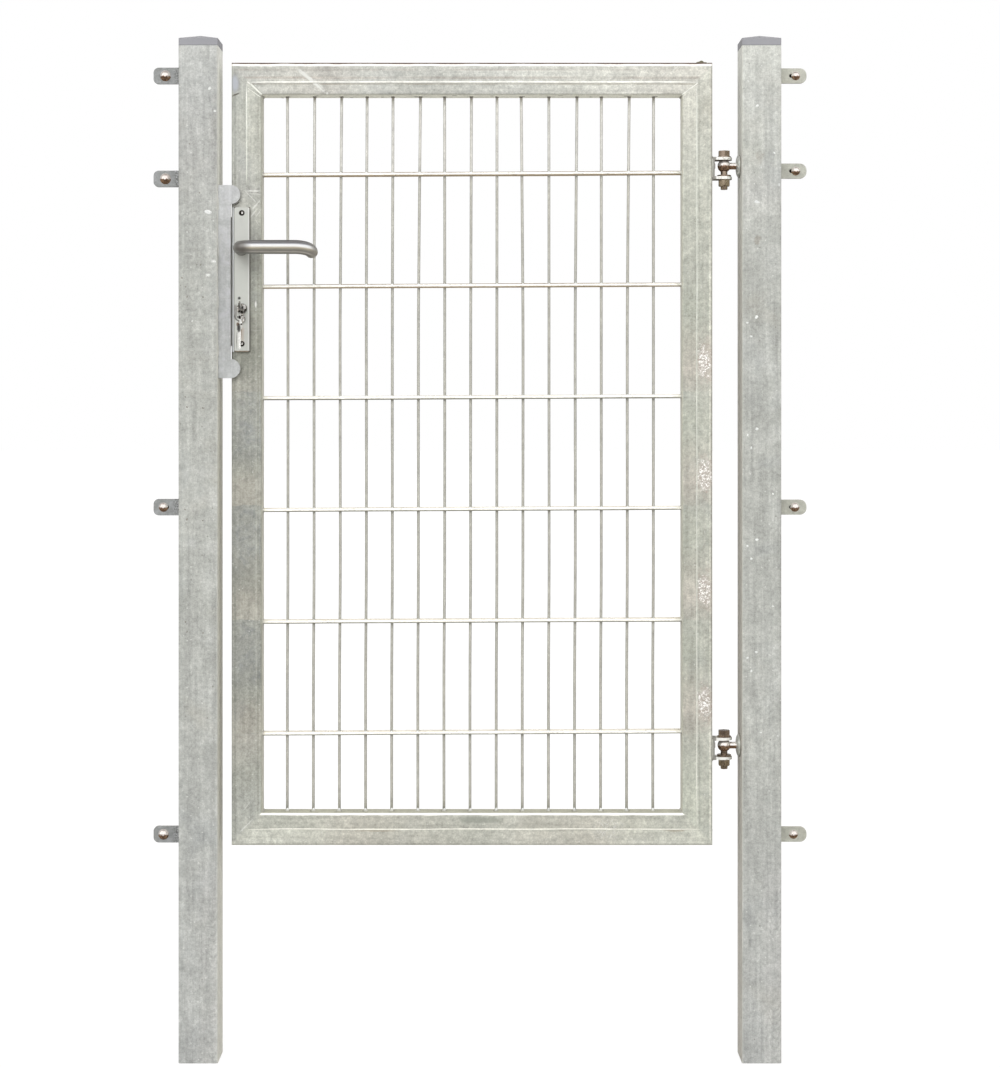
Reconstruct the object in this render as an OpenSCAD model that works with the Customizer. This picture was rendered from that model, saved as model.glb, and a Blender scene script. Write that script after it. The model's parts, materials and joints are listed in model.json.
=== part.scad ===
// Single-leaf garden gate of galvanised steel: a mitred tube frame filled with
// double-rod mesh, hung between two square posts.
// X runs along the gate from the latch post to the hinge post, Y is its depth
// (the leaf opens towards +Y) and Z is up. The origin is the centre of the
// hinge post's foot. All sizes are in millimetres.

/* [Posts] */
// Width and depth of each square post
post_w = 70; // [66:1:72]
// Wall thickness of the posts
post_t = 3; // [2:0.5:4]
// Height of the posts without their caps
post_h = 1808; // [1800:1:1900]
// Distance between the centres of the posts
post_pitch = 1001; // [1000:1:1003]
// Height of the straight rim of a cap
cap_rim_h = 13; // [8:0.5:20]
// Rise of the low pyramid on a cap
cap_rise = 10; // [2:0.5:14]

/* [Leaf frame] */
// Gap between the leaf and the hinge post
hinge_gap = 50.9; // [50:0.1:51.5]
// Width of the leaf
leaf_w = 857.7; // [855:0.1:859]
// Height of the leaf
leaf_h = 1396; // [1380:1:1410]
// Height of the leaf's lower edge above the foot of the posts
leaf_z0 = 384; // [370:0.1:400]
// Width of the face of the two upright frame tubes
rail_w = 54; // [52:0.5:56]
// Height of the face of the two level frame tubes
rail_h = 58; // [54:0.5:60]
// Depth of the frame tube
rail_d = 40; // [38:1:42]
// Wall thickness of the frame tube
rail_t = 2; // [1.5:0.5:3]

/* [Mesh] */
// Diameter of the upright wires
wire_d = 5; // [4:0.5:6]
// Diameter of the paired level rods
rod_d = 7; // [5:0.5:8]
// Number of upright wires
wire_n = 15; // [13:1:17]
// Distance between upright wires
wire_pitch = 46.8; // [44:0.1:48]
// Number of paired level rods
rod_n = 6; // [4:1:7]
// Distance between the level rods
rod_pitch = 200; // [190:1:205]

/* [Lock] */
// Height of the lever's spindle above the foot
spindle_z = 1446.8; // [1440:0.1:1452]
// Width of the long plate behind the lever
plate_w = 28; // [26:1:29]
// Thickness of the long plate
plate_t = 7; // [6.5:0.1:7]
// Radius of the lever's round bar
lever_r = 12.3; // [10:0.1:12.5]
// Distance from the leaf's centre to the middle of the lever's grip
lever_reach = 72; // [70:1:85]

/* [Hinges] */
// Distance from the hinge post's face to the hinge axis
axis_gap = 28.1; // [28:0.1:29]
// Height of the upper hinge's eye
upper_hinge_z = 1597.5; // [1560:0.5:1600]
// Height of the lower hinge's eye
lower_hinge_z = 559.7; // [540:0.1:620]
// Radius of the hinge bolt
pin_r = 6; // [5.5:0.1:6]

/* [Fence lugs] */
// Length of each lug beyond the post
lug_l = 49.5; // [44:0.5:56]
// Thickness of each lug
lug_t = 5; // [4:0.5:6]

/* [Hidden] */
$fn = 64;

half = post_w / 2;
latch_x = -post_pitch;                    // centre of the latch post
leaf_x1 = -half - hinge_gap;              // the leaf's hinge side
leaf_x0 = leaf_x1 - leaf_w;               // the leaf's latch side
leaf_z1 = leaf_z0 + leaf_h;
leaf_y = rail_d / 2;
in_x0 = leaf_x0 + rail_w;                 // the clear opening filled with mesh
in_x1 = leaf_x1 - rail_w;
in_z0 = leaf_z0 + rail_h;
in_z1 = leaf_z1 - rail_h;
axis_x = -half - axis_gap;                // the swing axis

plate_x = leaf_x0 + 5.2 + plate_w / 2;    // centre line of the long plates
plate_z0 = 1264;
plate_z1 = 1521.5;
spindle_x = plate_x - 0.5;
cyl_x = plate_x + 0.3;
cyl_z = 1340.7;
screw_zs = [1278.2, 1511];
screw_x = plate_x;
face_y = leaf_y + plate_t;                // the long plate's outer face

// The fence lugs: height of each, and on the bolts x offset and head radius
latch_lug_z = [1759, 1574.5, 986.3, 400.3];
hinge_lug_z = [1759, 1588.5, 986.3, 400.3];
latch_bolt = [[28, 9.8], [28, 9.8], [31.5, 8.4], [31.5, 9.4]];
hinge_bolt = [[30, 8], [30, 8], [28.5, 8.2], [26, 8]];
latch_lug_h = 29.6;
hinge_lug_h = 27;
m8_r = 4;
m6_r = 3;

// --- shared shapes -------------------------------------------------------

// Rectangle with round corners, centred
module rounded_rect(w, d, r) {
  square([w - 2 * r, d], center = true);
  square([w, d - 2 * r], center = true);
  for (x = [-1, 1], y = [-1, 1])
    translate([x * (w / 2 - r), y * (d / 2 - r)]) circle(r = r, $fn = 48);
}

// Section of a rectangular tube
module tube_section(w, d, t, r) {
  difference() {
    rounded_rect(w, d, r);
    rounded_rect(w - 2 * t, d - 2 * t, max(r - t, 0.8));
  }
}

// Outline drawn in X and Z, made solid between two depths
module upright(y0, y1) {
  translate([0, y1, 0]) rotate([90, 0, 0]) linear_extrude(y1 - y0) children();
}

// Outline drawn in Y and Z, made solid across a thickness about x = 0
module sideways(t) {
  rotate([90, 0, 90]) linear_extrude(t, center = true) children();
}

// Cylinder along Y between two depths
module bar_y(x, z, r, y0, y1, fn = 64) {
  translate([x, y0, z]) rotate([-90, 0, 0]) cylinder(r = r, h = y1 - y0, $fn = fn);
}

// Hexagon standing on Z, w across its flats
module hexagon(w, h) {
  rotate([0, 0, 30]) cylinder(r = w / sqrt(3), h = h, $fn = 6);
}

// Outline of a euro profile lock cylinder, g is added all round
module cylinder_outline(g = 0) {
  circle(r = 8.5 + g);
  translate([-5 - g, -20]) square([10 + 2 * g, 20]);
  translate([0, -20]) circle(r = 5 + g);
}

// --- posts ---------------------------------------------------------------

module post(x) {
  translate([x, 0, 0]) linear_extrude(post_h)
    tube_section(post_w, post_w, post_t, 3);
}

module latch_post() {
  color("#bcbeba") post(latch_x);
}

module hinge_post() {
  color("#bcbeba") difference() {
    post(0);
    // threaded seats of the two eye bolts
    for (z = [upper_hinge_z, lower_hinge_z])
      translate([-half - 1, 0, z]) rotate([0, 90, 0]) cylinder(r = 6.2, h = post_t + 2);
  }
}

// Plastic cap: a rim flush with the post, a low pyramid and a plug inside
module cap(x) {
  plug_w = post_w - 2 * post_t - 1;
  translate([x, 0, post_h]) {
    intersection() {
      linear_extrude(cap_rim_h + cap_rise) rounded_rect(post_w, post_w, 3);
      upright(-half, half)
        polygon([[-half, 0], [half, 0], [half, cap_rim_h], [0, cap_rim_h + cap_rise],
          [-half, cap_rim_h]]);
      sideways(post_w)
        polygon([[-half, 0], [half, 0], [half, cap_rim_h], [0, cap_rim_h + cap_rise],
          [-half, cap_rim_h]]);
    }
    translate([0, 0, -16]) linear_extrude(17) tube_section(plug_w, plug_w, 2.5, 2.5);
  }
}

module latch_post_cap() {
  color("#a5a5a8") cap(latch_x);
}

module hinge_post_cap() {
  color("#a5a5a8") cap(0);
}

// --- fence lugs ----------------------------------------------------------

// Flat lug with round corners and a level slot, growing towards +X from x = 0
module lug(l, h, r, slot0, slot1, slot_r) {
  upright(-lug_t / 2, lug_t / 2) difference() {
    union() {
      translate([0, -h / 2]) square([l - r, h]);
      translate([0, -h / 2 + r]) square([l, h - 2 * r]);
      for (s = [-1, 1]) translate([l - r, s * (h / 2 - r)]) circle(r = r, $fn = 48);
    }
    translate([slot0, -slot_r]) square([slot1 - slot0, 2 * slot_r]);
    translate([slot0, 0]) circle(r = slot_r, $fn = 48);
    translate([slot1, 0]) circle(r = slot_r, $fn = 48);
  }
}

module latch_post_lugs() {
  color("#b4b7bb") for (z = latch_lug_z)
    translate([latch_x - half, 0, z]) mirror([1, 0, 0])
      lug(lug_l, latch_lug_h, 9.5, 26.3, 33.6, m8_r + 0.4);
}

module hinge_post_lugs() {
  color("#c2c3b8") for (z = hinge_lug_z)
    translate([half, 0, z]) lug(lug_l, hinge_lug_h, 12, 21.8, 31.1, m6_r + 0.4);
}

// Dome-headed bolt along +Y from its seat on the lug's front face: a thinner
// shank through slot and nut, then a free stud beyond the nut's face
module carriage_bolt(x, z, shank_r, head_r, nut_y, tip_y) {
  bar_y(x, z, shank_r - 0.4, -lug_t / 2 - 0.1, nut_y);
  bar_y(x, z, shank_r, nut_y, tip_y);
  // low dome
  translate([x, -lug_t / 2, z]) rotate([-90, 0, 0]) rotate_extrude() intersection() {
    translate([0, head_r * 0.55]) circle(r = head_r * 1.141, $fn = 96);
    translate([0, -head_r]) square([head_r, head_r]);
  }
}

module latch_lug_bolts() {
  color("#d8cfc8") for (i = [0:3])
    carriage_bolt(latch_x - half - latch_bolt[i][0], latch_lug_z[i], m8_r, latch_bolt[i][1],
      lug_t / 2 + 8.1, 30);
}

module hinge_lug_bolts() {
  color("#d8cfc8") for (i = [0:3])
    carriage_bolt(half + hinge_bolt[i][0], hinge_lug_z[i], m6_r, hinge_bolt[i][1],
      lug_t / 2 + 6.6, 26);
}

// Wide washer over the slot and hexagon nut behind a lug
module rear_nut(x, z, r, flats, nut_h) {
  y0 = lug_t / 2;
  difference() {
    union() {
      bar_y(x, z, 12.2, y0, y0 + 1.6);
      translate([x, y0 + 1.6, z]) rotate([-90, 0, 0]) hexagon(flats, nut_h);
    }
    bar_y(x, z, r + 0.05, y0 - 1, y0 + nut_h + 3);
  }
}

module latch_lug_nuts() {
  color("#c8c8c4") for (i = [0:3])
    rear_nut(latch_x - half - latch_bolt[i][0], latch_lug_z[i], m8_r, 13, 6.5);
}

module hinge_lug_nuts() {
  color("#c8c8c4") for (i = [0:3])
    rear_nut(half + hinge_bolt[i][0], hinge_lug_z[i], m6_r, 10, 5);
}

// --- stop plate ----------------------------------------------------------

// Welded to the latch post; its two round ears overlap the leaf's front
module stop_plate() {
  x0 = latch_x + half;
  x1 = leaf_x0 - 0.4;
  ear_r = 17;
  color("#c3c5ca") upright(-leaf_y - 9, -leaf_y - 5) {
    translate([x0, 1217]) square([x1 - x0, 343.5]);
    translate([x1, 1560.5 - ear_r]) circle(r = ear_r);
    translate([x1, 1217 + ear_r]) circle(r = ear_r);
  }
}

// --- hinges on the post --------------------------------------------------

eye_r = 11.7;
eye_h = 19.2;
flange_r = 20.5;
flange_t = 6.7;
seat_in = 24;                              // how far the shank enters the post

module eye_bolt(z) {
  difference() {
    union() {
      // ball with flat ends
      translate([axis_x, 0, z]) rotate_extrude() intersection() {
        circle(r = eye_r, $fn = 96);
        translate([0, -eye_h / 2]) square([eye_r, eye_h]);
      }
      translate([axis_x + 8, 0, z]) rotate([0, 90, 0])
        cylinder(r = 6.05, h = axis_gap + seat_in - 8);
    }
    translate([axis_x, 0, z - eye_h]) cylinder(r = pin_r + 0.08, h = 2 * eye_h);
  }
}

module upper_eye_bolt() {
  color("#cfc4b6") eye_bolt(upper_hinge_z);
}

module lower_eye_bolt() {
  color("#cfc4b6") eye_bolt(lower_hinge_z);
}

// Round lens-shaped flange that the eye bolt is drawn up against
module eye_flange(z) {
  translate([-half, 0, z]) rotate([0, -90, 0]) rotate_extrude()
    polygon(concat([[6.1, 0], [flange_r, 0], [flange_r, 1.6]],
      [for (a = [10:10:60]) [6.1 + (flange_r - 6.1) * cos(a), 1.6 + (flange_t - 1.6) * sin(a)]],
      [[8.4, flange_t], [6.1, flange_t]]));
}

module upper_eye_flange() {
  color("#c6c8c0") eye_flange(upper_hinge_z);
}

module lower_eye_flange() {
  color("#c6c8c0") eye_flange(lower_hinge_z);
}

// --- leaf frame ----------------------------------------------------------

module stile_tube(x) {
  translate([x, 0, leaf_z0]) linear_extrude(leaf_h)
    tube_section(rail_w, rail_d, rail_t, 4);
}

module rail_tube(z) {
  translate([leaf_x0, 0, z]) rotate([0, 90, 0]) linear_extrude(leaf_w)
    tube_section(rail_h, rail_d, rail_t, 4);
}

module latch_stile() {
  color("#b9bbb4") difference() {
    intersection() {
      stile_tube(leaf_x0 + rail_w / 2);
      upright(-leaf_y - 1, leaf_y + 1)
        polygon([[leaf_x0, leaf_z0], [in_x0, in_z0], [in_x0, in_z1], [leaf_x0, leaf_z1]]);
    }
    // spindle, cylinder and screws pass through both faces
    bar_y(spindle_x, spindle_z, 8.6, -leaf_y - 1, leaf_y + 1);
    translate([cyl_x, 0, cyl_z]) upright(-leaf_y - 1, leaf_y + 1) cylinder_outline(0.4);
    for (z = screw_zs) bar_y(screw_x, z, 2.7, -leaf_y - 1, leaf_y + 1);
    // pocket for the lock case in the latch side
    translate([leaf_x0 - 1, -8.4, 1297]) cube([rail_t + 2, 16.8, 186]);
  }
}

module hinge_stile() {
  color("#bcbdb0") intersection() {
    stile_tube(leaf_x1 - rail_w / 2);
    upright(-leaf_y - 1, leaf_y + 1)
      polygon([[leaf_x1, leaf_z0], [in_x1, in_z0], [in_x1, in_z1], [leaf_x1, leaf_z1]]);
  }
}

module top_rail() {
  color("#cfd0c8") intersection() {
    rail_tube(leaf_z1 - rail_h / 2);
    upright(-leaf_y - 1, leaf_y + 1)
      polygon([[leaf_x0, leaf_z1], [in_x0, in_z1], [in_x1, in_z1], [leaf_x1, leaf_z1]]);
  }
}

module bottom_rail() {
  color("#c6c7be") intersection() {
    rail_tube(leaf_z0 + rail_h / 2);
    upright(-leaf_y - 1, leaf_y + 1)
      polygon([[leaf_x0, leaf_z0], [in_x0, in_z0], [in_x1, in_z0], [leaf_x1, leaf_z0]]);
  }
}

// --- mesh ----------------------------------------------------------------

mesh_x = (in_x0 + in_x1) / 2 - 3.2;        // centre line of the upright wires
mesh_z = 583.2;                            // lowest pair of level rods
weld_bite = 0.4;                           // how far a rod sinks into a wire

module mesh_panel() {
  rod_y = (wire_d + rod_d) / 2 - weld_bite;
  color("#b8b4a8") {
    for (i = [0:wire_n - 1])
      translate([mesh_x + (i - (wire_n - 1) / 2) * wire_pitch, 0, in_z0])
        rotate([0, 0, 22.5]) cylinder(r = wire_d / 2 / cos(22.5), h = in_z1 - in_z0, $fn = 8);
    for (i = [0:rod_n - 1], s = [-1, 1])
      translate([in_x0, s * rod_y, mesh_z + i * rod_pitch]) rotate([0, 90, 0])
        rotate([0, 0, 22.5]) cylinder(r = rod_d / 2 / cos(22.5), h = in_x1 - in_x0, $fn = 8);
  }
}

// --- lock ----------------------------------------------------------------

// Case inside the stile with its narrow front strip on the stile's side
module lock_case() {
  color("#c9c9c6") difference() {
    union() {
      translate([leaf_x0 - 3, -11, 1275]) cube([3, 22, 230]);
      translate([leaf_x0 - 1, -8, 1298]) cube([43, 16, 184]);
    }
    bar_y(spindle_x, spindle_z, 8.6, -12, 12);
    translate([cyl_x, 0, cyl_z]) upright(-12, 12) cylinder_outline(0.4);
  }
}

// Long plate with round corners, drawn at the front
module long_plate() {
  z_mid = (plate_z0 + plate_z1) / 2;
  difference() {
    translate([plate_x, 0, z_mid]) {
      upright(-face_y + 1.5, -leaf_y) rounded_rect(plate_w, plate_z1 - plate_z0, 5);
      upright(-face_y, -face_y + 1.5) rounded_rect(plate_w - 2, plate_z1 - plate_z0 - 2, 4);
    }
    bar_y(spindle_x, spindle_z, 8.05, -face_y - 1, -leaf_y + 1);
    translate([cyl_x, 0, cyl_z]) upright(-face_y - 1, -leaf_y + 1) cylinder_outline(0.2);
    for (z = screw_zs) bar_y(screw_x, z, 2.7, -face_y - 1, -leaf_y + 1);
  }
}

module front_long_plate() {
  color("#cfd0d0") long_plate();
}

module back_long_plate() {
  color("#cfd0d0") mirror([0, 1, 0]) long_plate();
}

// Two through screws with raised heads at both plates
module long_plate_screws() {
  color("#bdbcba") for (z = screw_zs) {
    bar_y(screw_x, z, 2.5, -face_y - 0.5, face_y + 0.5);
    for (m = [0, 1]) mirror([0, m, 0]) bar_y(screw_x, z, 4.4, -face_y - 1.6, -face_y);
  }
}

cyl_end = face_y + 4;                      // the cylinder stands proud of the plates

module lock_cylinder() {
  color("#c9c5bd") difference() {
    translate([cyl_x, 0, cyl_z]) upright(-cyl_end, cyl_end) cylinder_outline();
    bar_y(cyl_x, cyl_z, 6.5, -cyl_end - 1, -6);
    bar_y(cyl_x, cyl_z, 6.5, 6, cyl_end + 1);
  }
}

// Turning plugs of the cylinder, each with its keyway
module cylinder_plugs() {
  color("#d8cbb4") for (m = [0, 1]) mirror([0, m, 0]) difference() {
    bar_y(cyl_x, cyl_z, 6.4, -cyl_end - 0.8, -6.2);
    translate([cyl_x - 1.3, -cyl_end - 2, cyl_z - 4.6]) cube([2.6, 29, 9.2]);
  }
}

// Flat key bow drawn about its own hole, with its shank towards -Y or +Y
module bow_outline(r, hole_off, hole_r) {
  difference() {
    circle(r = r);
    translate([hole_off, 0]) circle(r = hole_r, $fn = 40);
  }
}

key_y = -cyl_end - 29;                     // centre of the key's bow
hole_y = key_y - 6;                        // the bow's hole, where the ring hangs

module key() {
  color("#c8c4bc") translate([cyl_x, 0, cyl_z]) {
    sideways(2.4) {
      translate([key_y, 0]) bow_outline(12, -6, 4);
      translate([key_y + 11, -4]) square([17, 8]);
    }
    translate([-1, -cyl_end - 2, -4]) cube([2, 22, 8]);
  }
}

ring_R = 11;
ring_r = 0.9;
ring_z = cyl_z - 1.4 - ring_R;             // centre of the split ring

module key_ring() {
  color("#d0d0d0") translate([cyl_x, hole_y, ring_z]) rotate([0, 0, 50]) rotate([90, 0, 0])
    rotate_extrude() translate([ring_R, 0]) circle(r = ring_r, $fn = 24);
}

// Second key hanging from the ring
module spare_key() {
  color("#c4bba8")
    translate([cyl_x, hole_y, ring_z - ring_R - 2.8]) rotate([0, 0, 30]) rotate([90, 90, 90])
      translate([5, 0, 0]) {
        linear_extrude(2.2, center = true) {
          bow_outline(11, -5, 3.8);
          translate([9, -4]) square([30, 8]);
          translate([38, -4]) square([4, 5.5]);
        }
      }
}

// --- hinges on the leaf --------------------------------------------------

web_t = 4.7;
arm_t = 5;
arm_r = 14;

// U-shaped bracket welded to the leaf's side, its two arms above and below the eye
module hinge_bracket(z) {
  top = z + eye_h / 2 + 0.3;               // underside of the upper arm
  low = z - 19.5;                          // upper side of the lower arm
  difference() {
    union() {
      translate([leaf_x1, -arm_r, low - arm_t]) cube([web_t, 2 * arm_r, top - low + 2 * arm_t]);
      for (a = [top, low - arm_t]) {
        translate([leaf_x1, -arm_r, a]) cube([axis_x - leaf_x1, 2 * arm_r, arm_t]);
        translate([axis_x, 0, a]) cylinder(r = arm_r, h = arm_t);
      }
      // rivet head on the web
      translate([leaf_x1 + web_t - 1, 0, z]) rotate([0, 90, 0]) cylinder(r = 5, h = 3);
    }
    translate([axis_x, 0, low - arm_t - 1]) cylinder(r = pin_r + 0.1, h = top - low + 2 * arm_t + 2);
  }
}

module upper_hinge_bracket() {
  color("#cfd1cb") hinge_bracket(upper_hinge_z);
}

module lower_hinge_bracket() {
  color("#cfd1cb") hinge_bracket(lower_hinge_z);
}

// Hexagon-headed bolt that the eye turns on, with its two washers
module hinge_bolt_at(z) {
  top = z + eye_h / 2 + 0.3 + arm_t;
  low = z - 19.5;
  end_z = z - 42.2;
  translate([axis_x, 0, end_z]) cylinder(r = pin_r, h = top - end_z + 1);
  translate([axis_x, 0, top]) cylinder(r = 12.5, h = 1.8);
  translate([axis_x, 0, top + 1.8]) hexagon(19, 10.3);
  translate([axis_x, 0, low]) cylinder(r = 12.5, h = 3);
}

module upper_hinge_bolt() {
  color("#c2b3a0") hinge_bolt_at(upper_hinge_z);
}

module lower_hinge_bolt() {
  color("#c2b3a0") hinge_bolt_at(lower_hinge_z);
}

module hinge_nut(z) {
  low = z - 19.5 - arm_t;
  difference() {
    intersection() {
      translate([axis_x, 0, low - 12]) hexagon(19, 12);
      // chamfered lower corners
      translate([axis_x, 0, low - 12]) rotate_extrude()
        polygon([[0, 0], [9.2, 0], [11.2, 2.2], [11.2, 12], [0, 12]]);
    }
    translate([axis_x, 0, low - 13]) cylinder(r = pin_r + 0.05, h = 14);
  }
}

module upper_hinge_nut() {
  color("#b5a890") hinge_nut(upper_hinge_z);
}

module lower_hinge_nut() {
  color("#b5a890") hinge_nut(lower_hinge_z);
}

// --- lever ---------------------------------------------------------------

bend_in = 20;                              // bend from the neck into the grip
bend_out = 14;                             // bend of the return at the grip's end
grip_x1 = spindle_x + 113.5;               // where the return begins
return_tilt = 35;                          // how far the return drops

module lever() {
  difference() {
    translate([0, 0, spindle_z]) {
      // collar that turns in the long plate
      bar_y(spindle_x, 0, 8, -face_y - 1, -leaf_y - 0.4);
      // neck, bend, grip
      bar_y(spindle_x, 0, lever_r, -lever_reach + bend_in, -face_y - 0.6);
      translate([spindle_x + bend_in, -lever_reach + bend_in, 0]) rotate([0, 0, 180])
        rotate_extrude(angle = 90) translate([bend_in, 0]) circle(r = lever_r);
      translate([spindle_x + bend_in, -lever_reach, 0]) rotate([0, 90, 0])
        cylinder(r = lever_r, h = grip_x1 - spindle_x - bend_in);
      // fine joint line where the return begins
      translate([grip_x1 - 0.6, -lever_reach, 0]) rotate([0, 90, 0])
        cylinder(r = lever_r + 0.1, h = 0.6);
      // return towards the leaf
      translate([grip_x1, -lever_reach, 0]) rotate([-return_tilt, 0, 0]) {
        translate([0, bend_out, 0]) rotate([0, 0, 270])
          rotate_extrude(angle = 90) translate([bend_out, 0]) circle(r = lever_r);
        translate([bend_out, bend_out, 0]) rotate([-90, 0, 0]) rotate_extrude()
          polygon(concat([[0, 0], [lever_r, 0]],
            [for (a = [0:15:90]) [lever_r - 5 + 5 * cos(a), 2 + 5 * sin(a)]], [[0, 7]]));
      }
    }
    // square seat of the spindle
    translate([spindle_x - 4.1, -face_y - 17, spindle_z - 4.1]) cube([8.2, 18, 8.2]);
    translate([spindle_x - 4.1, -face_y - 1, spindle_z - 4.1]) cube([8.2, 10, 8.2]);
  }
}

module front_lever() {
  color("#a9a6a4") lever();
}

// Half of an 8 mm square spindle, ending in the lock case
module lever_spindle() {
  color("#9a9a98") translate([spindle_x - 4, -face_y - 15, spindle_z - 4])
    cube([8, face_y + 25, 8]);
}

// --- knob ----------------------------------------------------------------

knob_r = 24;
knob_t = 22;                               // thickness of the head
knob_end = 83.4;                           // distance from the leaf's centre to its face

// Fixed round knob on the leaf's other side; its spigot fills the back plate's hole
module back_knob() {
  color("#a9a6a4") translate([spindle_x, 0, spindle_z]) rotate([-90, 0, 0]) {
    translate([0, 0, leaf_y + 0.4]) cylinder(r = 8, h = plate_t);
    translate([0, 0, face_y]) cylinder(r1 = 15, r2 = 13.5, h = 4);
    translate([0, 0, face_y]) cylinder(r = 10, h = knob_end - knob_t + 4 - face_y);
    translate([0, 0, knob_end - knob_t]) rotate_extrude() {
      square([knob_r - knob_t / 2, knob_t]);
      translate([knob_r - knob_t / 2, knob_t / 2]) circle(r = knob_t / 2);
    }
  }
}

latch_post();
hinge_post();
latch_post_cap();
hinge_post_cap();
latch_post_lugs();
hinge_post_lugs();
latch_lug_bolts();
hinge_lug_bolts();
latch_lug_nuts();
hinge_lug_nuts();
stop_plate();
upper_eye_bolt();
lower_eye_bolt();
upper_eye_flange();
lower_eye_flange();
latch_stile();
hinge_stile();
top_rail();
bottom_rail();
mesh_panel();
lock_case();
front_long_plate();
back_long_plate();
long_plate_screws();
lock_cylinder();
cylinder_plugs();
key();
key_ring();
spare_key();
upper_hinge_bracket();
lower_hinge_bracket();
upper_hinge_bolt();
lower_hinge_bolt();
upper_hinge_nut();
lower_hinge_nut();
front_lever();
back_knob();
lever_spindle();
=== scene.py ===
import json
import math
import random

import bmesh
import bpy
from mathutils import Matrix, Vector, noise


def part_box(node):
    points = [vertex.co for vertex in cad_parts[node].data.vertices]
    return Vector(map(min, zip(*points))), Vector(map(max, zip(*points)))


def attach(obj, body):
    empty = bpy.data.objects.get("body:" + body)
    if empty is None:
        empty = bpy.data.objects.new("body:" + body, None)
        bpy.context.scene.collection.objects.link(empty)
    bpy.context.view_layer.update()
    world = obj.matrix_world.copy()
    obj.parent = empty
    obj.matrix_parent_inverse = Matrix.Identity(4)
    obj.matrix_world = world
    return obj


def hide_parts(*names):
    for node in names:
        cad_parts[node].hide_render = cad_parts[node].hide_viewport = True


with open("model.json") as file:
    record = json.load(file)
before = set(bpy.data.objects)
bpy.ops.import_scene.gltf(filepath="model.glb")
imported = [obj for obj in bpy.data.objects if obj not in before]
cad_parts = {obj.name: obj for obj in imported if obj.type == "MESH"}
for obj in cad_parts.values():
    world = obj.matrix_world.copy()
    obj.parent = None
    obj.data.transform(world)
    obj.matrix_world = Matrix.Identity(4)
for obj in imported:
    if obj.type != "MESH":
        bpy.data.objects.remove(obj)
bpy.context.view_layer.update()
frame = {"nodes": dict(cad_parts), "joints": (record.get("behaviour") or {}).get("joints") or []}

NODES = frame["nodes"]


def mm(*v):
    """Millimetres to metres."""
    return Vector([x * 0.001 for x in v]) if len(v) > 1 else v[0] * 0.001


def tone(r, g, b):
    """A colour named by its 0..255 screen values, as the shader's linear numbers."""
    out = []
    for c in (r, g, b):
        c = c / 255
        out.append(c / 12.92 if c <= 0.04045 else ((c + 0.055) / 1.055) ** 2.4)
    return (*out, 1.0)


# --------------------------------------------------------------------------
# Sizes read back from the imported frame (metres)
# --------------------------------------------------------------------------

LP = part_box("latch_post")
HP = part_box("hinge_post")
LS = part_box("latch_stile")
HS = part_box("hinge_stile")
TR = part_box("top_rail")
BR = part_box("bottom_rail")
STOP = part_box("stop_plate")
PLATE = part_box("front_long_plate")
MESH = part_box("mesh_panel")

LEAF_X0, LEAF_X1 = LS[0].x, HS[1].x
LEAF_Z0, LEAF_Z1 = BR[0].z, TR[1].z
LEAF_Y = LS[1].y
IN_X0, IN_X1 = LS[1].x, HS[0].x
IN_Z0, IN_Z1 = BR[1].z, TR[0].z
JOINT = {j["name"]: j for j in frame["joints"]}


def joint_pos(name):
    j = JOINT[name]
    for key in ("pos", "pos_m", "origin", "anchor", "pos_mm"):
        if key in j:
            s = 0.001 if key == "pos_mm" else 1.0
            return Vector(j[key]) * s
    raise KeyError(f"joint {name} gives its place as none of the known names: {sorted(j)}")


SPINDLE = joint_pos("lever_turn")
HINGE_AXIS = joint_pos("gate_swing")


# --------------------------------------------------------------------------
# Materials: everything is procedural and reads object coordinates in metres
# --------------------------------------------------------------------------


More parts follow.
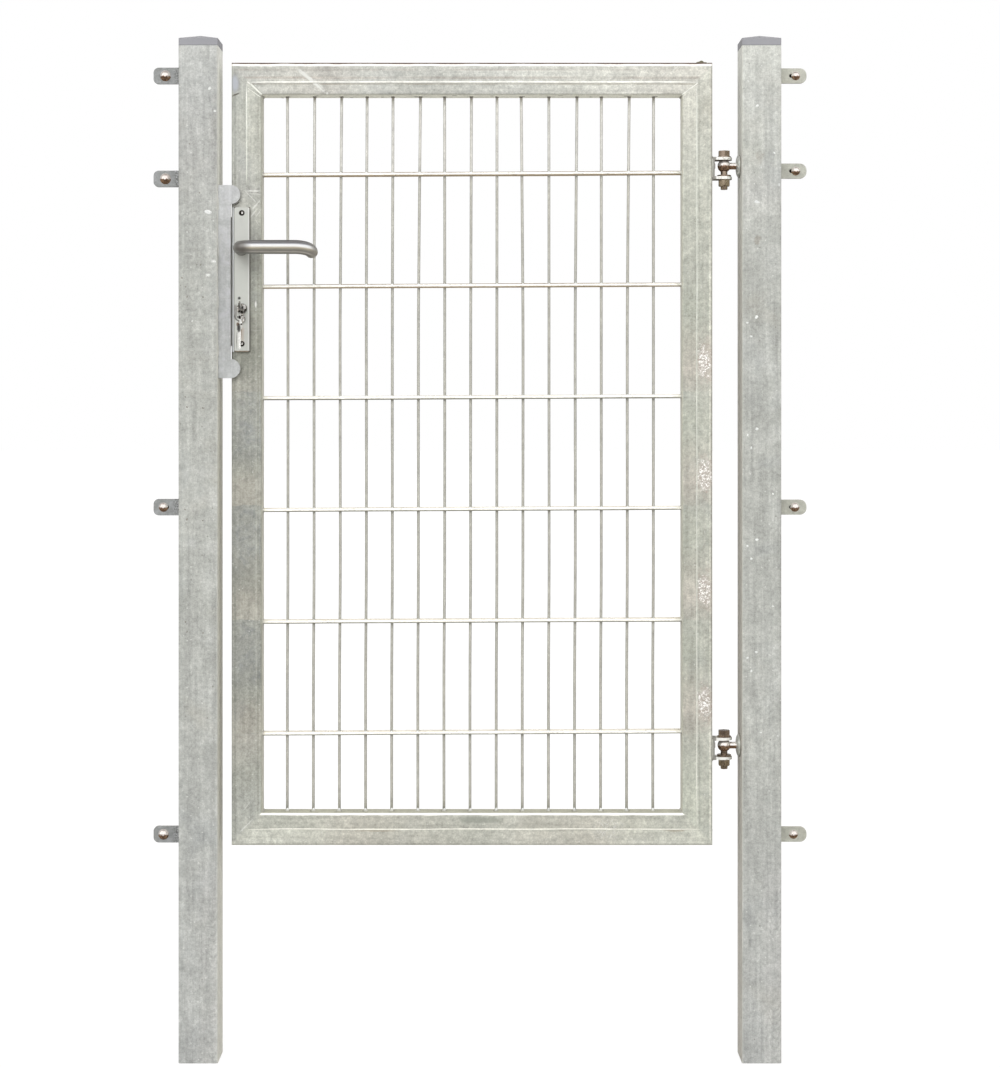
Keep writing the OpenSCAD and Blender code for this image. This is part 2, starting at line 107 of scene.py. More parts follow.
class Look:
    """Builds one material with short calls."""

    def __init__(self, name, metallic=0.0, roughness=0.5, seed=0.0):
        self.mat = bpy.data.materials.new(name)
        self.mat.use_nodes = True
        self.tree = self.mat.node_tree
        self.tree.nodes.clear()
        out = self.tree.nodes.new("ShaderNodeOutputMaterial")
        self.shader = self.tree.nodes.new("ShaderNodeBsdfPrincipled")
        self.tree.links.new(self.shader.outputs[0], out.inputs[0])
        self.shader.inputs["Metallic"].default_value = metallic
        self.shader.inputs["Roughness"].default_value = roughness
        coord = self.tree.nodes.new("ShaderNodeTexCoord").outputs["Object"]
        self.raw = coord
        self.p = self.at(loc=(seed * 3.1, seed * 1.7, seed * 2.3), vec=coord)

    def node(self, kind, **props):
        n = self.tree.nodes.new(kind)
        for k, v in props.items():
            setattr(n, k, v)
        return n

    def feed(self, socket, value):
        if isinstance(value, bpy.types.NodeSocket):
            self.tree.links.new(value, socket)
        else:
            socket.default_value = value

    def at(self, scale=(1, 1, 1), loc=(0, 0, 0), rot=(0, 0, 0), vec=None):
        n = self.node("ShaderNodeMapping")
        self.feed(n.inputs["Vector"], self.p if vec is None else vec)
        n.inputs["Scale"].default_value = scale
        n.inputs["Location"].default_value = loc
        n.inputs["Rotation"].default_value = rot
        return n.outputs[0]

    def noise(self, scale, detail=3.0, rough=0.55, distort=0.0, vec=None):
        n = self.node("ShaderNodeTexNoise")
        self.feed(n.inputs["Vector"], self.p if vec is None else vec)
        n.inputs["Scale"].default_value = scale
        n.inputs["Detail"].default_value = detail
        n.inputs["Roughness"].default_value = rough
        n.inputs["Distortion"].default_value = distort
        return n.outputs["Fac"]

    def cells(self, scale, vec=None, feature="F1"):
        n = self.node("ShaderNodeTexVoronoi", feature=feature)
        self.feed(n.inputs["Vector"], self.p if vec is None else vec)
        n.inputs["Scale"].default_value = scale
        return n.outputs["Distance"], n.outputs["Color"] if "Color" in n.outputs else None

    def fit(self, v, a, b, c=0.0, d=1.0, smooth=False, clamp=True):
        n = self.node("ShaderNodeMapRange", interpolation_type="SMOOTHSTEP" if smooth else "LINEAR", clamp=clamp)
        self.feed(n.inputs["Value"], v)
        for name, x in zip(("From Min", "From Max", "To Min", "To Max"), (a, b, c, d)):
            n.inputs[name].default_value = x
        return n.outputs["Result"]

    def calc(self, op, a, b=0.0):
        n = self.node("ShaderNodeMath", operation=op)
        self.feed(n.inputs[0], a)
        self.feed(n.inputs[1], b)
        return n.outputs[0]

    def mix(self, fac, a, b, blend="MIX"):
        n = self.node("ShaderNodeMix", data_type="RGBA", blend_type=blend)
        self.feed(n.inputs["Factor"], fac)
        self.feed(n.inputs[6], a)
        self.feed(n.inputs[7], b)
        return n.outputs[2]

    def length(self, vec):
        n = self.node("ShaderNodeVectorMath", operation="LENGTH")
        self.feed(n.inputs[0], vec)
        return n.outputs["Value"]

    def red(self, colour):
        n = self.node("ShaderNodeSeparateColor")
        self.feed(n.inputs[0], colour)
        return n.outputs[0]

    def spot(self, x, z, rx, rz, ragged=0.0, grain=60.0, edge=0.35):
        """1 inside an ellipse seen from the front (metres), 0 outside, with a soft or ragged edge."""
        d = self.length(self.at((1 / rx, 0, 1 / rz), (-x / rx, 0, -z / rz), vec=self.raw))
        if ragged:
            d = self.calc("ADD", d, self.fit(self.noise(grain, 4, 0.65), 0.25, 0.75, -ragged, ragged))
        return self.fit(d, edge, 1.0, 1.0, 0.0, smooth=True)

    def bump(self, height, strength, distance, below=None):
        n = self.node("ShaderNodeBump")
        n.inputs["Strength"].default_value = strength
        n.inputs["Distance"].default_value = distance
        self.feed(n.inputs["Height"], height)
        if below is not None:
            self.feed(n.inputs["Normal"], below)
        return n.outputs[0]

    def xyz(self):
        n = self.node("ShaderNodeSeparateXYZ")
        self.feed(n.inputs[0], self.raw)
        return n.outputs[0], n.outputs[1], n.outputs[2]

    def facing(self):
        """The x, y and z of the way the surface faces, in the object's own axes."""
        n = self.node("ShaderNodeSeparateXYZ")
        self.feed(n.inputs[0], self.node("ShaderNodeTexCoord").outputs["Normal"])
        return n.outputs[0], n.outputs[1], n.outputs[2]

    def front(self):
        """1 on the half that looks to the viewer's side of the leaf's middle plane."""
        if not hasattr(self, "front_half"):
            self.front_half = self.calc("LESS_THAN", self.xyz()[1], 0.0)
        return self.front_half

    def grain(self):
        """Fine and coarse unevenness round 1, for tints that are laid over the zinc."""
        a = self.fit(self.noise(60, 4, 0.6, 0.3), 0.3, 0.7, 0.90, 1.10)
        b = self.fit(self.noise(300, 4, 0.65), 0.3, 0.7, 0.84, 1.16)
        c = self.fit(self.noise(1.0, 5, 0.65, 0.0, self.at((130, 130, 5))), 0.3, 0.7, 0.90, 1.10)
        return self.calc("MULTIPLY", a, self.calc("MULTIPLY", b, c))

    def times(self, colour, m):
        n = self.node("ShaderNodeCombineColor")
        for s in n.inputs[:3]:
            self.feed(s, m)
        return self.mix(1.0, colour, n.outputs[0], "MULTIPLY")

    def ramp(self, v, stops, gain=None):
        """A run of tones (0..255) along a value."""
        a, b = stops[0][0], stops[-1][0]
        n = self.node("ShaderNodeValToRGB")
        self.feed(n.inputs[0], self.fit(v, a, b))
        els = n.color_ramp.elements
        while len(els) < len(stops):
            els.new(0.5)
        for e, (p, rgb) in zip(els, stops):
            e.position = (p - a) / (b - a)
            e.color = base(rgb, gain)
        return n.outputs[0]

    def done(self, colour, rough=None, normal=None):
        self.feed(self.shader.inputs["Base Color"], colour)
        if rough is not None:
            self.feed(self.shader.inputs["Roughness"], rough)
        if normal is not None:
            self.feed(self.shader.inputs["Normal"], normal)
        return self.mat
# The studio light brings a base colour up by about 1 / GAIN on a face that looks at the viewer
GAIN = 0.785


def base(rgb, gain=None):
    """Base colour of zinc that looks like rgb (0..255) from the front in this light."""
    g = GAIN if gain is None else gain
    c = tone(*rgb)
    return (min(1, c[0] * g), min(1, c[1] * g), min(1, c[2] * g), 1.0)


def weather(k, colour, along="z", patch=0.09, small=0.13, fine=0.19, streak=0.05, seedloc=(0, 0, 0)):
    """Old zinc: cloudy patches, spangle, runs and fine grain. Gives the colour, the roughness and the normal."""
    p = k.at(loc=seedloc)
    a = k.noise(19, 5, 0.62, 0.5, p)
    b = k.noise(70, 4, 0.6, 0.2, p)
    c = k.noise(170, 4, 0.65, 0.0, p)
    e = k.noise(430, 3, 0.6, 0.0, p)
    d = k.noise(1400, 2, 0.5, 0.0, p)
    m = k.calc("MULTIPLY", k.fit(a, 0.3, 0.7, 1 - patch, 1 + patch), k.fit(b, 0.3, 0.7, 1 - small, 1 + small))
    m = k.calc("MULTIPLY", m, k.fit(c, 0.3, 0.7, 1 - fine, 1 + fine))
    m = k.calc("MULTIPLY", m, k.fit(e, 0.3, 0.7, 1 - fine * 0.8, 1 + fine * 0.8))
    if streak:
        run = {"z": (130, 130, 5.0), "x": (5.0, 130, 130)}[along]
        s = k.noise(1.0, 5, 0.65, 0.0, k.at(run))
        m = k.calc("MULTIPLY", m, k.fit(s, 0.3, 0.7, 1 - streak, 1 + streak))
    _, cell = k.cells(62, p)
    cr = k.red(cell)
    m = k.calc("MULTIPLY", m, k.fit(cr, 0.0, 1.0, 0.975, 1.025))
    colour = k.times(colour, m)
    # slight warm and cold patches
    t = k.noise(8, 3, 0.6, 0.4, k.at(loc=(5.2, 1.3, 9.1)))
    colour = k.mix(k.fit(t, 0.56, 0.78, 0.0, 0.22), colour, base((178, 184, 190)))
    colour = k.mix(k.fit(t, 0.42, 0.24, 0.0, 0.20), colour, base((194, 186, 168)))
    r = k.calc("ADD", k.fit(a, 0.3, 0.7, 0.42, 0.56), k.fit(c, 0.3, 0.7, -0.06, 0.06))
    r = k.calc("ADD", r, k.fit(cr, 0.0, 1.0, -0.04, 0.04))
    n = k.bump(a, 0.22, 0.0008)
    n = k.bump(b, 0.20, 0.00035, n)
    n = k.bump(d, 0.14, 0.00005, n)
    return colour, r, n


def specks(k, colour, white=0.6, pits=0.4, scale=170):
    """White specks and a few dark pits."""
    dist, cc = k.cells(scale, k.at())
    dot = k.calc("MULTIPLY", k.fit(dist, 0.24, 0.12), k.fit(k.red(cc), 0.90, 0.93))
    colour = k.mix(k.calc("MULTIPLY", dot, white), colour, base((236, 237, 232)))
    dist2, cc2 = k.cells(scale * 0.7, k.at(loc=(0.37, 0.21, 0.93)))
    pit = k.calc("MULTIPLY", k.fit(dist2, 0.2, 0.1), k.fit(k.red(cc2), 0.93, 0.95))
    return k.mix(k.calc("MULTIPLY", pit, pits), colour, base((130, 128, 120)))


def hatch(k, colour, where, amount, degrees=52, light=(220, 221, 213)):
    """Bundles of fine slanted scrape marks."""
    slant = k.noise(1.0, 3, 0.6, 0.1, k.at((26, 26, 330), rot=(0, math.radians(degrees), 0)))
    return k.mix(k.calc("MULTIPLY", k.fit(slant, 0.58, 0.70, 0.0, amount), where), colour, base(light))


# Places on the gate's front are given in steps of about 1.8 mm: u to the right, v down.
STEP_LEAF, STEP_POST = 0.0017828, 0.0017755


def px(u, v, step=STEP_LEAF):
    """Place in metres of a point (u, v) of the front."""
    return (-0.4827 + (u - 490) * step, 1.1532 + (414 - v) * step)


def uv_of(k, step):
    """u and v of the point that is shaded, and its x, y, z."""
    x, y, z = k.xyz()
    u = k.fit(x, -0.4827, -0.4827 + 100 * step, 490, 590, clamp=False)
    v = k.fit(z, 1.1532, 1.1532 - 100 * step, 414, 514, clamp=False)
    return u, v, x, y, z


def stroke(k, colour, u, v, half, width, degrees, amount, light=(240, 240, 234), step=STEP_LEAF):
    """One light or dark line: centre, half length, half width and slant, in steps of u and v."""
    X, Z = px(u, v, step)
    moved = k.at((1, 0, 1), (-X, 0, -Z), vec=k.raw)
    turned = k.at((1 / (half * step), 0, 1 / (width * step)), vec=k.at(rot=(0, math.radians(-degrees), 0), vec=moved))
    d = k.calc("ADD", k.length(turned), k.fit(k.noise(150, 3), 0.3, 0.7, -0.3, 0.3))
    return k.mix(k.calc("MULTIPLY", k.fit(d, 0.5, 1.0, amount, 0.0), k.front()), colour, base(light))


def stain(k, colour, u, v, ru, rv, rgb, amount, ragged=0.3, step=STEP_LEAF, grain=60.0):
    """A soft or ragged patch: centre and half sizes in steps of u and v."""
    X, Z = px(u, v, step)
    mask = k.calc("MULTIPLY", k.spot(X, Z, ru * step, rv * step, ragged, grain), k.front())
    return k.mix(k.calc("MULTIPLY", mask, amount), colour, base(rgb))


def bay(k, v, start, length=114.0):
    """Share of the way through the bay that v is in."""
    return k.calc("FRACT", k.calc("DIVIDE", k.calc("SUBTRACT", v, start), length))


def leaf_zinc():
    """The leaf's frame: one material for its four mitred tubes, with the runs of each tube's own length."""
    k = Look("leaf_zinc", 0.35, 0.48, 2.0)
    u, v, x, y, z = uv_of(k, STEP_LEAF)
    xc, zc = (IN_X0 + IN_X1) / 2, (IN_Z0 + IN_Z1) / 2
    across = k.calc("SUBTRACT", k.calc("ABSOLUTE", k.calc("SUBTRACT", x, xc)), (IN_X1 - IN_X0) / 2)
    up = k.calc("SUBTRACT", k.calc("ABSOLUTE", k.calc("SUBTRACT", z, zc)), (IN_Z1 - IN_Z0) / 2)
    rail = k.fit(k.calc("SUBTRACT", up, across), -0.005, 0.005, smooth=True)
    high = k.calc("GREATER_THAN", z, zc)
    right = k.calc("GREATER_THAN", x, xc)
    # edges of the tonal bays run slightly unevenly
    wave = k.fit(k.noise(45, 3, 0.6, 0.0, k.at(vec=k.raw)), 0.3, 0.7, -1.3, 1.3)
    vw = k.calc("ADD", v, wave)

    left_top = k.ramp(v, [(60, (197, 197, 192)), (100, (194, 195, 185)), (190, (190, 190, 183)), (218, (199, 199, 189)),
                          (247, (168, 168, 160)), (282, (178, 179, 168)), (328, (167, 167, 156)), (358, (163, 164, 153)),
                          (386, (175, 174, 164))])
    left_bay = k.ramp(bay(k, vw, 392), [(0, (174, 175, 167)), (0.35, (170, 171, 164)), (0.57, (161, 162, 154)),
                                        (0.68, (170, 170, 160)), (0.8, (179, 176, 165)), (1, (184, 181, 170))])
    left_low = k.ramp(v, [(734, (189, 186, 176)), (775, (181, 182, 172)), (802, (183, 184, 176)), (824, (192, 193, 184)),
                          (850, (199, 200, 192))])
    left = k.mix(k.calc("GREATER_THAN", vw, 392), left_top, left_bay)
    left = k.mix(k.calc("GREATER_THAN", v, 734), left, left_low)
    # mottled blue-grey in the dark half of each bay
    t = bay(k, vw, 392)
    dark_half = k.calc("MULTIPLY", k.fit(t, 0.62, 0.50), k.calc("MULTIPLY", k.calc("GREATER_THAN", vw, 392), k.fit(v, 700, 690)))
    mott = k.calc("MULTIPLY", dark_half, k.fit(k.noise(58, 4, 0.65, 0.8), 0.48, 0.66, 0.0, 0.5))
    left = k.mix(mott, left, base((140, 144, 145)))

    right_top = k.ramp(v, [(60, (226, 224, 214)), (102, (216, 215, 204)), (150, (207, 207, 196)), (214, (203, 204, 192)),
                           (278, (190, 191, 180))])
    tr = bay(k, vw, 278)
    right_bay = k.ramp(tr, [(0, (190, 191, 180)), (0.25, (190, 192, 179)), (0.32, (186, 188, 176)), (0.55, (195, 193, 181)),
                            (0.8, (200, 195, 184)), (1, (194, 192, 181))])
    right_low = k.ramp(v, [(734, (192, 192, 181)), (775, (195, 197, 184)), (802, (203, 205, 191)), (850, (209, 211, 197))])
    rgt = k.mix(k.calc("GREATER_THAN", v, 278), right_top, right_bay)
    rgt = k.mix(k.calc("GREATER_THAN", v, 734), rgt, right_low)
    outer = k.calc("MULTIPLY", k.fit(u, 696, 699), 0.35)
    rgt = k.mix(outer, rgt, base((206, 207, 196)))

    top = k.ramp(u, [(232, (199, 199, 193)), (286, (212, 211, 203)), (330, (201, 198, 191)), (362, (207, 207, 200)),
                     (400, (198, 198, 191)), (455, (200, 200, 193)), (500, (217, 217, 210)), (540, (212, 212, 204)),
                     (635, (222, 221, 212)), (660, (218, 216, 207)), (712, (226, 224, 214))])
    low = k.ramp(u, [(232, (204, 205, 196)), (275, (212, 213, 202)), (350, (205, 202, 190)), (480, (197, 197, 186)),
                     (515, (208, 207, 196)), (600, (207, 204, 192)), (660, (215, 215, 202)), (712, (214, 215, 201))])
    stiles = k.mix(right, left, rgt)
    rails = k.mix(high, low, top)
    colour = k.mix(rail, stiles, rails)
    ends = k.calc("MAXIMUM", k.fit(u, 330, 310), k.fit(u, 600, 620))
    low_rail = k.calc("MULTIPLY", rail, k.calc("SUBTRACT", 1.0, high))
    outer_half = k.fit(v, 828.6, 829.8)
    colour = k.mix(k.calc("MULTIPLY", k.calc("MULTIPLY", low_rail, ends), k.calc("MULTIPLY", outer_half, 0.5)), colour, base((222, 222, 209)))
    colour = k.mix(k.calc("MULTIPLY", k.calc("MULTIPLY", low_rail, ends), k.calc("MULTIPLY", k.calc("SUBTRACT", 1.0, outer_half), 0.5)), colour, base((190, 190, 178)))
    colour = k.mix(k.calc("MULTIPLY", k.calc("MULTIPLY", rail, high), k.calc("MULTIPLY", k.fit(u, 615, 590), k.fit(v, 83.2, 84.2, 0.0, 0.22))), colour, base((192, 192, 183)))
    colour = k.mix(k.calc("MULTIPLY", k.calc("MULTIPLY", k.calc("SUBTRACT", 1.0, right), k.calc("SUBTRACT", 1.0, rail)),
                          k.calc("MULTIPLY", k.fit(u, 246, 248), k.fit(v, 190, 170, 0.0, 0.5))), colour, base((212, 212, 200)))
    # darker, browner lines along the upper rail, above its seam and just under its bright edge
    for vv, ww, tint, amount in ((69.6, 1.5, (184, 177, 168), 0.6), (77.6, 1.8, (180, 171, 161), 0.75)):
        lane = k.fit(k.calc("ABSOLUTE", k.calc("SUBTRACT", v, vv)), ww, ww * 0.3, smooth=True)
        lane = k.calc("MULTIPLY", lane, k.fit(k.noise(1.0, 3, 0.6, 0.0, k.at((9, 9, 60), loc=(vv, 0, 0))), 0.36, 0.58, 0.15, amount))
        colour = k.mix(k.calc("MULTIPLY", lane, k.calc("MULTIPLY", rail, high)), colour, base(tint))
    # light and dark lines down each stile; those by the stiles' edges are painted highlights and painted shade
    for uu, ww, tint, amount in ((256.2, 0.9, (196, 197, 186), 0.55), (258.2, 0.9, (154, 154, 142), 0.55),
                                 (235.2, 1.6, (146, 146, 137), 0.6), (261.0, 0.9, (184, 186, 170), 0.6),
                                 (682.4, 1.0, (220, 221, 203), 0.8), (699.4, 1.0, (176, 177, 166), 0.45), (704.6, 1.6, (206, 205, 193), 0.45),
                                 (710.0, 1.2, (232, 230, 217), 0.85), (712.0, 0.9, (172, 168, 158), 0.8)):
        lane = k.fit(k.calc("ABSOLUTE", k.calc("SUBTRACT", u, uu)), ww, ww * 0.3, smooth=True)
        lane = k.calc("MULTIPLY", lane, k.fit(k.noise(1.0, 3, 0.6, 0.0, k.at((60, 60, 7), loc=(uu, 0, 0))), 0.34, 0.56, 0.2, amount))
        colour = k.mix(k.calc("MULTIPLY", lane, k.calc("SUBTRACT", 1.0, rail)), colour, base(tint))

    # runs follow the length of each tube
    sx = k.noise(1.0, 5, 0.65, 0.0, k.at((5, 120, 120)))
    sz = k.noise(1.0, 5, 0.65, 0.0, k.at((140, 140, 5)))
    run_x, run_z = k.fit(sx, 0.3, 0.7, 0.84, 1.16), k.fit(sz, 0.3, 0.7, 0.86, 1.14)
    run = k.calc("ADD", k.calc("MULTIPLY", rail, run_x), k.calc("MULTIPLY", k.calc("SUBTRACT", 1.0, rail), run_z))
    colour = k.times(colour, run)
    colour, r, n = weather(k, colour, patch=0.075, small=0.12, fine=0.19, streak=0)

    # scrape marks: everywhere a little, strong in the inner half of the hinge stile at the head of each bay
    some = k.fit(k.noise(9, 3, 0.6, 0.0, k.at(loc=(2.2, 8.4, 3.9))), 0.48, 0.66)
    colour = hatch(k, colour, some, 0.42)
    inner = k.calc("MULTIPLY", k.calc("MULTIPLY", right, k.fit(u, 698, 694)), k.calc("MULTIPLY", k.fit(tr, 0.55, 0.4), k.calc("GREATER_THAN", v, 278)))
    colour = hatch(k, colour, inner, 0.65, 40, (216, 217, 206))
    # a brown-pink patch with white and pink spatter in each bay of the hinge stile
    du = k.fit(u, 706, 716, 0, 1, clamp=False)
    dv = k.calc("DIVIDE", k.calc("SUBTRACT", k.calc("MULTIPLY", tr, 114.0), 84.0), 22.0)
    dist = k.calc("SQRT", k.calc("ADD", k.calc("MULTIPLY", du, du), k.calc("MULTIPLY", dv, dv)))
    dist = k.calc("ADD", dist, k.fit(k.noise(120, 4, 0.65), 0.3, 0.7, -0.45, 0.45))
    patch = k.calc("MULTIPLY", k.fit(dist, 1.1, 0.5), k.calc("MULTIPLY", k.calc("GREATER_THAN", v, 300), k.calc("MULTIPLY", k.fit(v, 736, 730), right)))
    colour = k.mix(k.calc("MULTIPLY", patch, 0.55), colour, base((190, 176, 164)))
    blot = k.fit(k.noise(230, 4, 0.7, 1.4), 0.535, 0.60)
    colour = k.mix(k.calc("MULTIPLY", k.calc("MULTIPLY", patch, blot), 0.85), colour, base((238, 232, 226)))
    rim = k.fit(k.noise(200, 3, 0.7, 0.8, k.at(loc=(0.7, 0.3, 0.2))), 0.57, 0.64)
    colour = k.mix(k.calc("MULTIPLY", k.calc("MULTIPLY", patch, rim), 0.6), colour, base((172, 146, 134)))
    du = k.fit(u, 704, 711, 0, 1, clamp=False)
    dv = k.calc("DIVIDE", k.calc("SUBTRACT", k.calc("MULTIPLY", tr, 114.0), 83.5), 16.0)
    far = k.calc("SQRT", k.calc("ADD", k.calc("MULTIPLY", du, du), k.calc("MULTIPLY", dv, dv)))
    far = k.calc("ADD", far, k.fit(k.noise(110, 3, 0.6, 0.0, k.at(loc=(0.3, 0.9, 0.5))), 0.3, 0.7, -0.4, 0.4))
    cluster = k.calc("MULTIPLY", k.fit(far, 1.05, 0.75), k.calc("MULTIPLY", k.calc("GREATER_THAN", v, 300), k.calc("MULTIPLY", k.fit(v, 736, 730), right)))
    cluster = k.calc("MULTIPLY", k.calc("MULTIPLY", cluster, k.front()), k.calc("SUBTRACT", 1.0, rail))
    crisp = k.fit(k.noise(250, 3, 0.7, 0.8, k.at(loc=(0.1, 0.6, 0.4))), 0.515, 0.555)
    colour = k.mix(k.calc("MULTIPLY", k.calc("MULTIPLY", cluster, crisp), 0.95), colour, base((255, 253, 250), 0.95))
    # white spatter on the lower rail
    X, Z = px(607, 830)
    sp = k.spot(X, Z, 20 * STEP_LEAF, 15 * STEP_LEAF, 0.35, 90.0)
    colour = k.mix(k.calc("MULTIPLY", k.calc("MULTIPLY", sp, blot), 0.7), colour, base((240, 240, 236)))
    # painted shade: a thin brown line under the upper rail's seam; a brown tinge by the lower one
    seam = k.calc("MULTIPLY", k.fit(k.calc("ABSOLUTE", k.calc("SUBTRACT", v, 84.1)), 0.9, 0.3), k.calc("MULTIPLY", k.fit(u, 247, 250), k.fit(u, 700, 696)))
    colour = k.mix(k.calc("MULTIPLY", seam, k.fit(k.noise(30, 3), 0.35, 0.65, 0.15, 0.5)), colour, base((150, 138, 118)))
    colour = stain(k, colour, 375, 830.5, 26, 1.6, (166, 150, 126), 0.5)
    colour = stain(k, colour, 480, 819.8, 30, 4.6, (160, 163, 152), 0.75, 0.35)
    colour = stain(k, colour, 676, 830.5, 15, 1.6, (166, 150, 126), 0.5)
    # faint bluish stain at the upper left corner
    colour = stain(k, colour, 235.6, 84, 6.6, 12.6, (134, 132, 128), 0.50, 0.10)
    colour = stain(k, colour, 234.8, 83.6, 5.7, 11.8, (196, 199, 207), 0.85, 0.10)
    colour = stroke(k, colour, 235.8, 94.6, 4.2, 0.9, -24, 0.85, (88, 80, 70))
    # thin dark line of painted shadow where the stop plate's upper ear ends, and a bright scrape beside the lock
    colour = stroke(k, colour, 237.2, 203.6, 4.4, 0.8, -34, 0.8, (74, 66, 56))
    colour = stain(k, colour, 255.8, 304.4, 1.3, 4.6, (250, 250, 246), 0.95, 0.1)
    # single scratches
    colour = stroke(k, colour, 312, 80.5, 20, 2.0, 43, 0.95)
    colour = stroke(k, colour, 306, 77, 13, 1.0, 38, 0.7)
    colour = stroke(k, colour, 303, 73, 9, 1.7, 36, 0.6)
    colour = stroke(k, colour, 319, 84, 9, 0.9, 44, 0.6)
    colour = stain(k, colour, 327.3, 93.5, 1.7, 1.6, (246, 246, 242), 0.95, 0.1)
    colour = stroke(k, colour, 254, 191, 9, 1.0, 0, 0.9)
    colour = stroke(k, colour, 255, 194, 8, 0.6, 3, 0.5)
    colour = stroke(k, colour, 252, 198, 9, 0.7, 46, 0.6)
    colour = stroke(k, colour, 256, 205, 9, 0.9, -50, 0.7)
    colour = stroke(k, colour, 253, 214, 8, 0.9, -52, 0.65)
    colour = stroke(k, colour, 258, 214, 6, 0.7, -55, 0.5)
    colour = stroke(k, colour, 257, 222, 5, 0.7, 60, 0.4)
    colour = stroke(k, colour, 249, 124, 6, 0.6, -60, 0.4)
    colour = stroke(k, colour, 676, 68, 7, 0.8, -42, 0.5)
    colour = stroke(k, colour, 664, 74, 6, 0.6, -42, 0.35)
    colour = stroke(k, colour, 246, 826, 13, 0.8, -45, 0.55)
    colour = stroke(k, colour, 247, 806, 7, 0.6, -52, 0.4)
    colour = specks(k, colour, 0.6, 0.35)

    # painted shade round the long plate, in the crack between plate and tube
    gx = k.calc("SUBTRACT", k.calc("ABSOLUTE", k.calc("SUBTRACT", x, (PLATE[0].x + PLATE[1].x) / 2)), (PLATE[1].x - PLATE[0].x) / 2)
    gz = k.calc("SUBTRACT", k.calc("ABSOLUTE", k.calc("SUBTRACT", z, (PLATE[0].z + PLATE[1].z) / 2)), (PLATE[1].z - PLATE[0].z) / 2)
    gap = k.calc("MAXIMUM", gx, gz)
    # the strip left of it lies in the stop plate's shadow and is painted bright to lift that shadow
    shade = k.calc("MULTIPLY", k.fit(x, PLATE[0].x + 0.0002, PLATE[0].x - 0.0006), k.calc("LESS_THAN", gz, 0.0))
    colour = k.mix(k.calc("MULTIPLY", shade, 0.9), colour, base((236, 238, 238), 1.0))
    colour = k.mix(k.fit(gap, 0.0012, 0.0002, 0.0, 0.75), colour, base((92, 86, 76)))

    grain = k.grain()
    tinted = lambda rgb, gain=None: k.times(base(rgb, gain), grain)
    # painted light by facing: the upper front edges get a painted highlight, the lower rail's top face a khaki painted
    # shade, the upper rail's top a brown that is partly dirt and partly painted dark reflection; the undersides and
    # side faces are painted lighter, and their rounded edges darker as painted shade
    nx, ny, nz = k.facing()
    edge = k.calc("MULTIPLY", k.fit(nz, 0.06, 0.22, smooth=True), k.fit(nz, 0.95, 0.80, smooth=True))
    uneven = k.fit(k.noise(24, 4, 0.6), 0.3, 0.7, -0.0008, 0.0008)
    zt = k.calc("ADD", z, uneven)
    top_lip_highlight = k.calc("MULTIPLY", k.fit(zt, LEAF_Z1 - 0.0072, LEAF_Z1 - 0.0058), k.fit(nz, 0.95, 0.80, smooth=True))
    low_lip_highlight = k.calc("MULTIPLY", k.fit(k.calc("ABSOLUTE", k.calc("SUBTRACT", zt, IN_Z0 - 0.0022)), 0.0026, 0.0014), k.calc("SUBTRACT", 1.0, high))
    low_lip_highlight = k.calc("MULTIPLY", low_lip_highlight, k.calc("MULTIPLY", rail, k.fit(nz, 0.95, 0.80, smooth=True)))
    edge = k.calc("MAXIMUM", edge, k.calc("MAXIMUM", top_lip_highlight, low_lip_highlight))
    colour = k.mix(k.calc("MULTIPLY", edge, 0.95), colour, base((255, 253, 246), 1.0))
    khaki = k.calc("MULTIPLY", k.fit(nz, 0.80, 0.97, smooth=True), k.calc("SUBTRACT", 1.0, high))
    colour = k.mix(k.calc("MULTIPLY", khaki, 0.85), colour, tinted((194, 191, 170)))
    brown = k.calc("MAXIMUM", k.calc("MULTIPLY", k.fit(nz, 0.55, 0.72, smooth=True), high), k.fit(zt, LEAF_Z1 - 0.0034, LEAF_Z1 - 0.0024))
    brown = k.calc("MULTIPLY", brown, k.fit(k.calc("ABSOLUTE", y), LEAF_Y - 0.009, LEAF_Y - 0.004, 0.25, 1.0))
    colour = k.mix(k.calc("MULTIPLY", brown, 0.95), colour, tinted((96, 70, 60)))
    lower = k.fit(nz, -0.60, -0.92, smooth=True)
    colour = k.mix(k.calc("MULTIPLY", lower, 0.97), colour, tinted((250, 249, 236), 1.0))
    low_rim_shade = k.calc("MULTIPLY", k.fit(nz, -0.35, -0.55, smooth=True), k.fit(nz, -0.95, -0.8, smooth=True))
    colour = k.mix(k.calc("MULTIPLY", low_rim_shade, 0.25), colour, base((150, 144, 128)))
    side = k.fit(k.calc("ABSOLUTE", nx), 0.85, 0.98, smooth=True)
    colour = k.mix(k.calc("MULTIPLY", side, 0.92), colour, tinted((212, 211, 198), 1.0))
    side_edge_shade = k.calc("MULTIPLY", k.fit(k.calc("ABSOLUTE", nx), 0.55, 0.75, smooth=True), k.fit(k.calc("ABSOLUTE", nx), 0.97, 0.88, smooth=True))
    colour = k.mix(k.calc("MULTIPLY", side_edge_shade, 0.2), colour, base((150, 144, 128)))
    return k.done(colour, r, n)


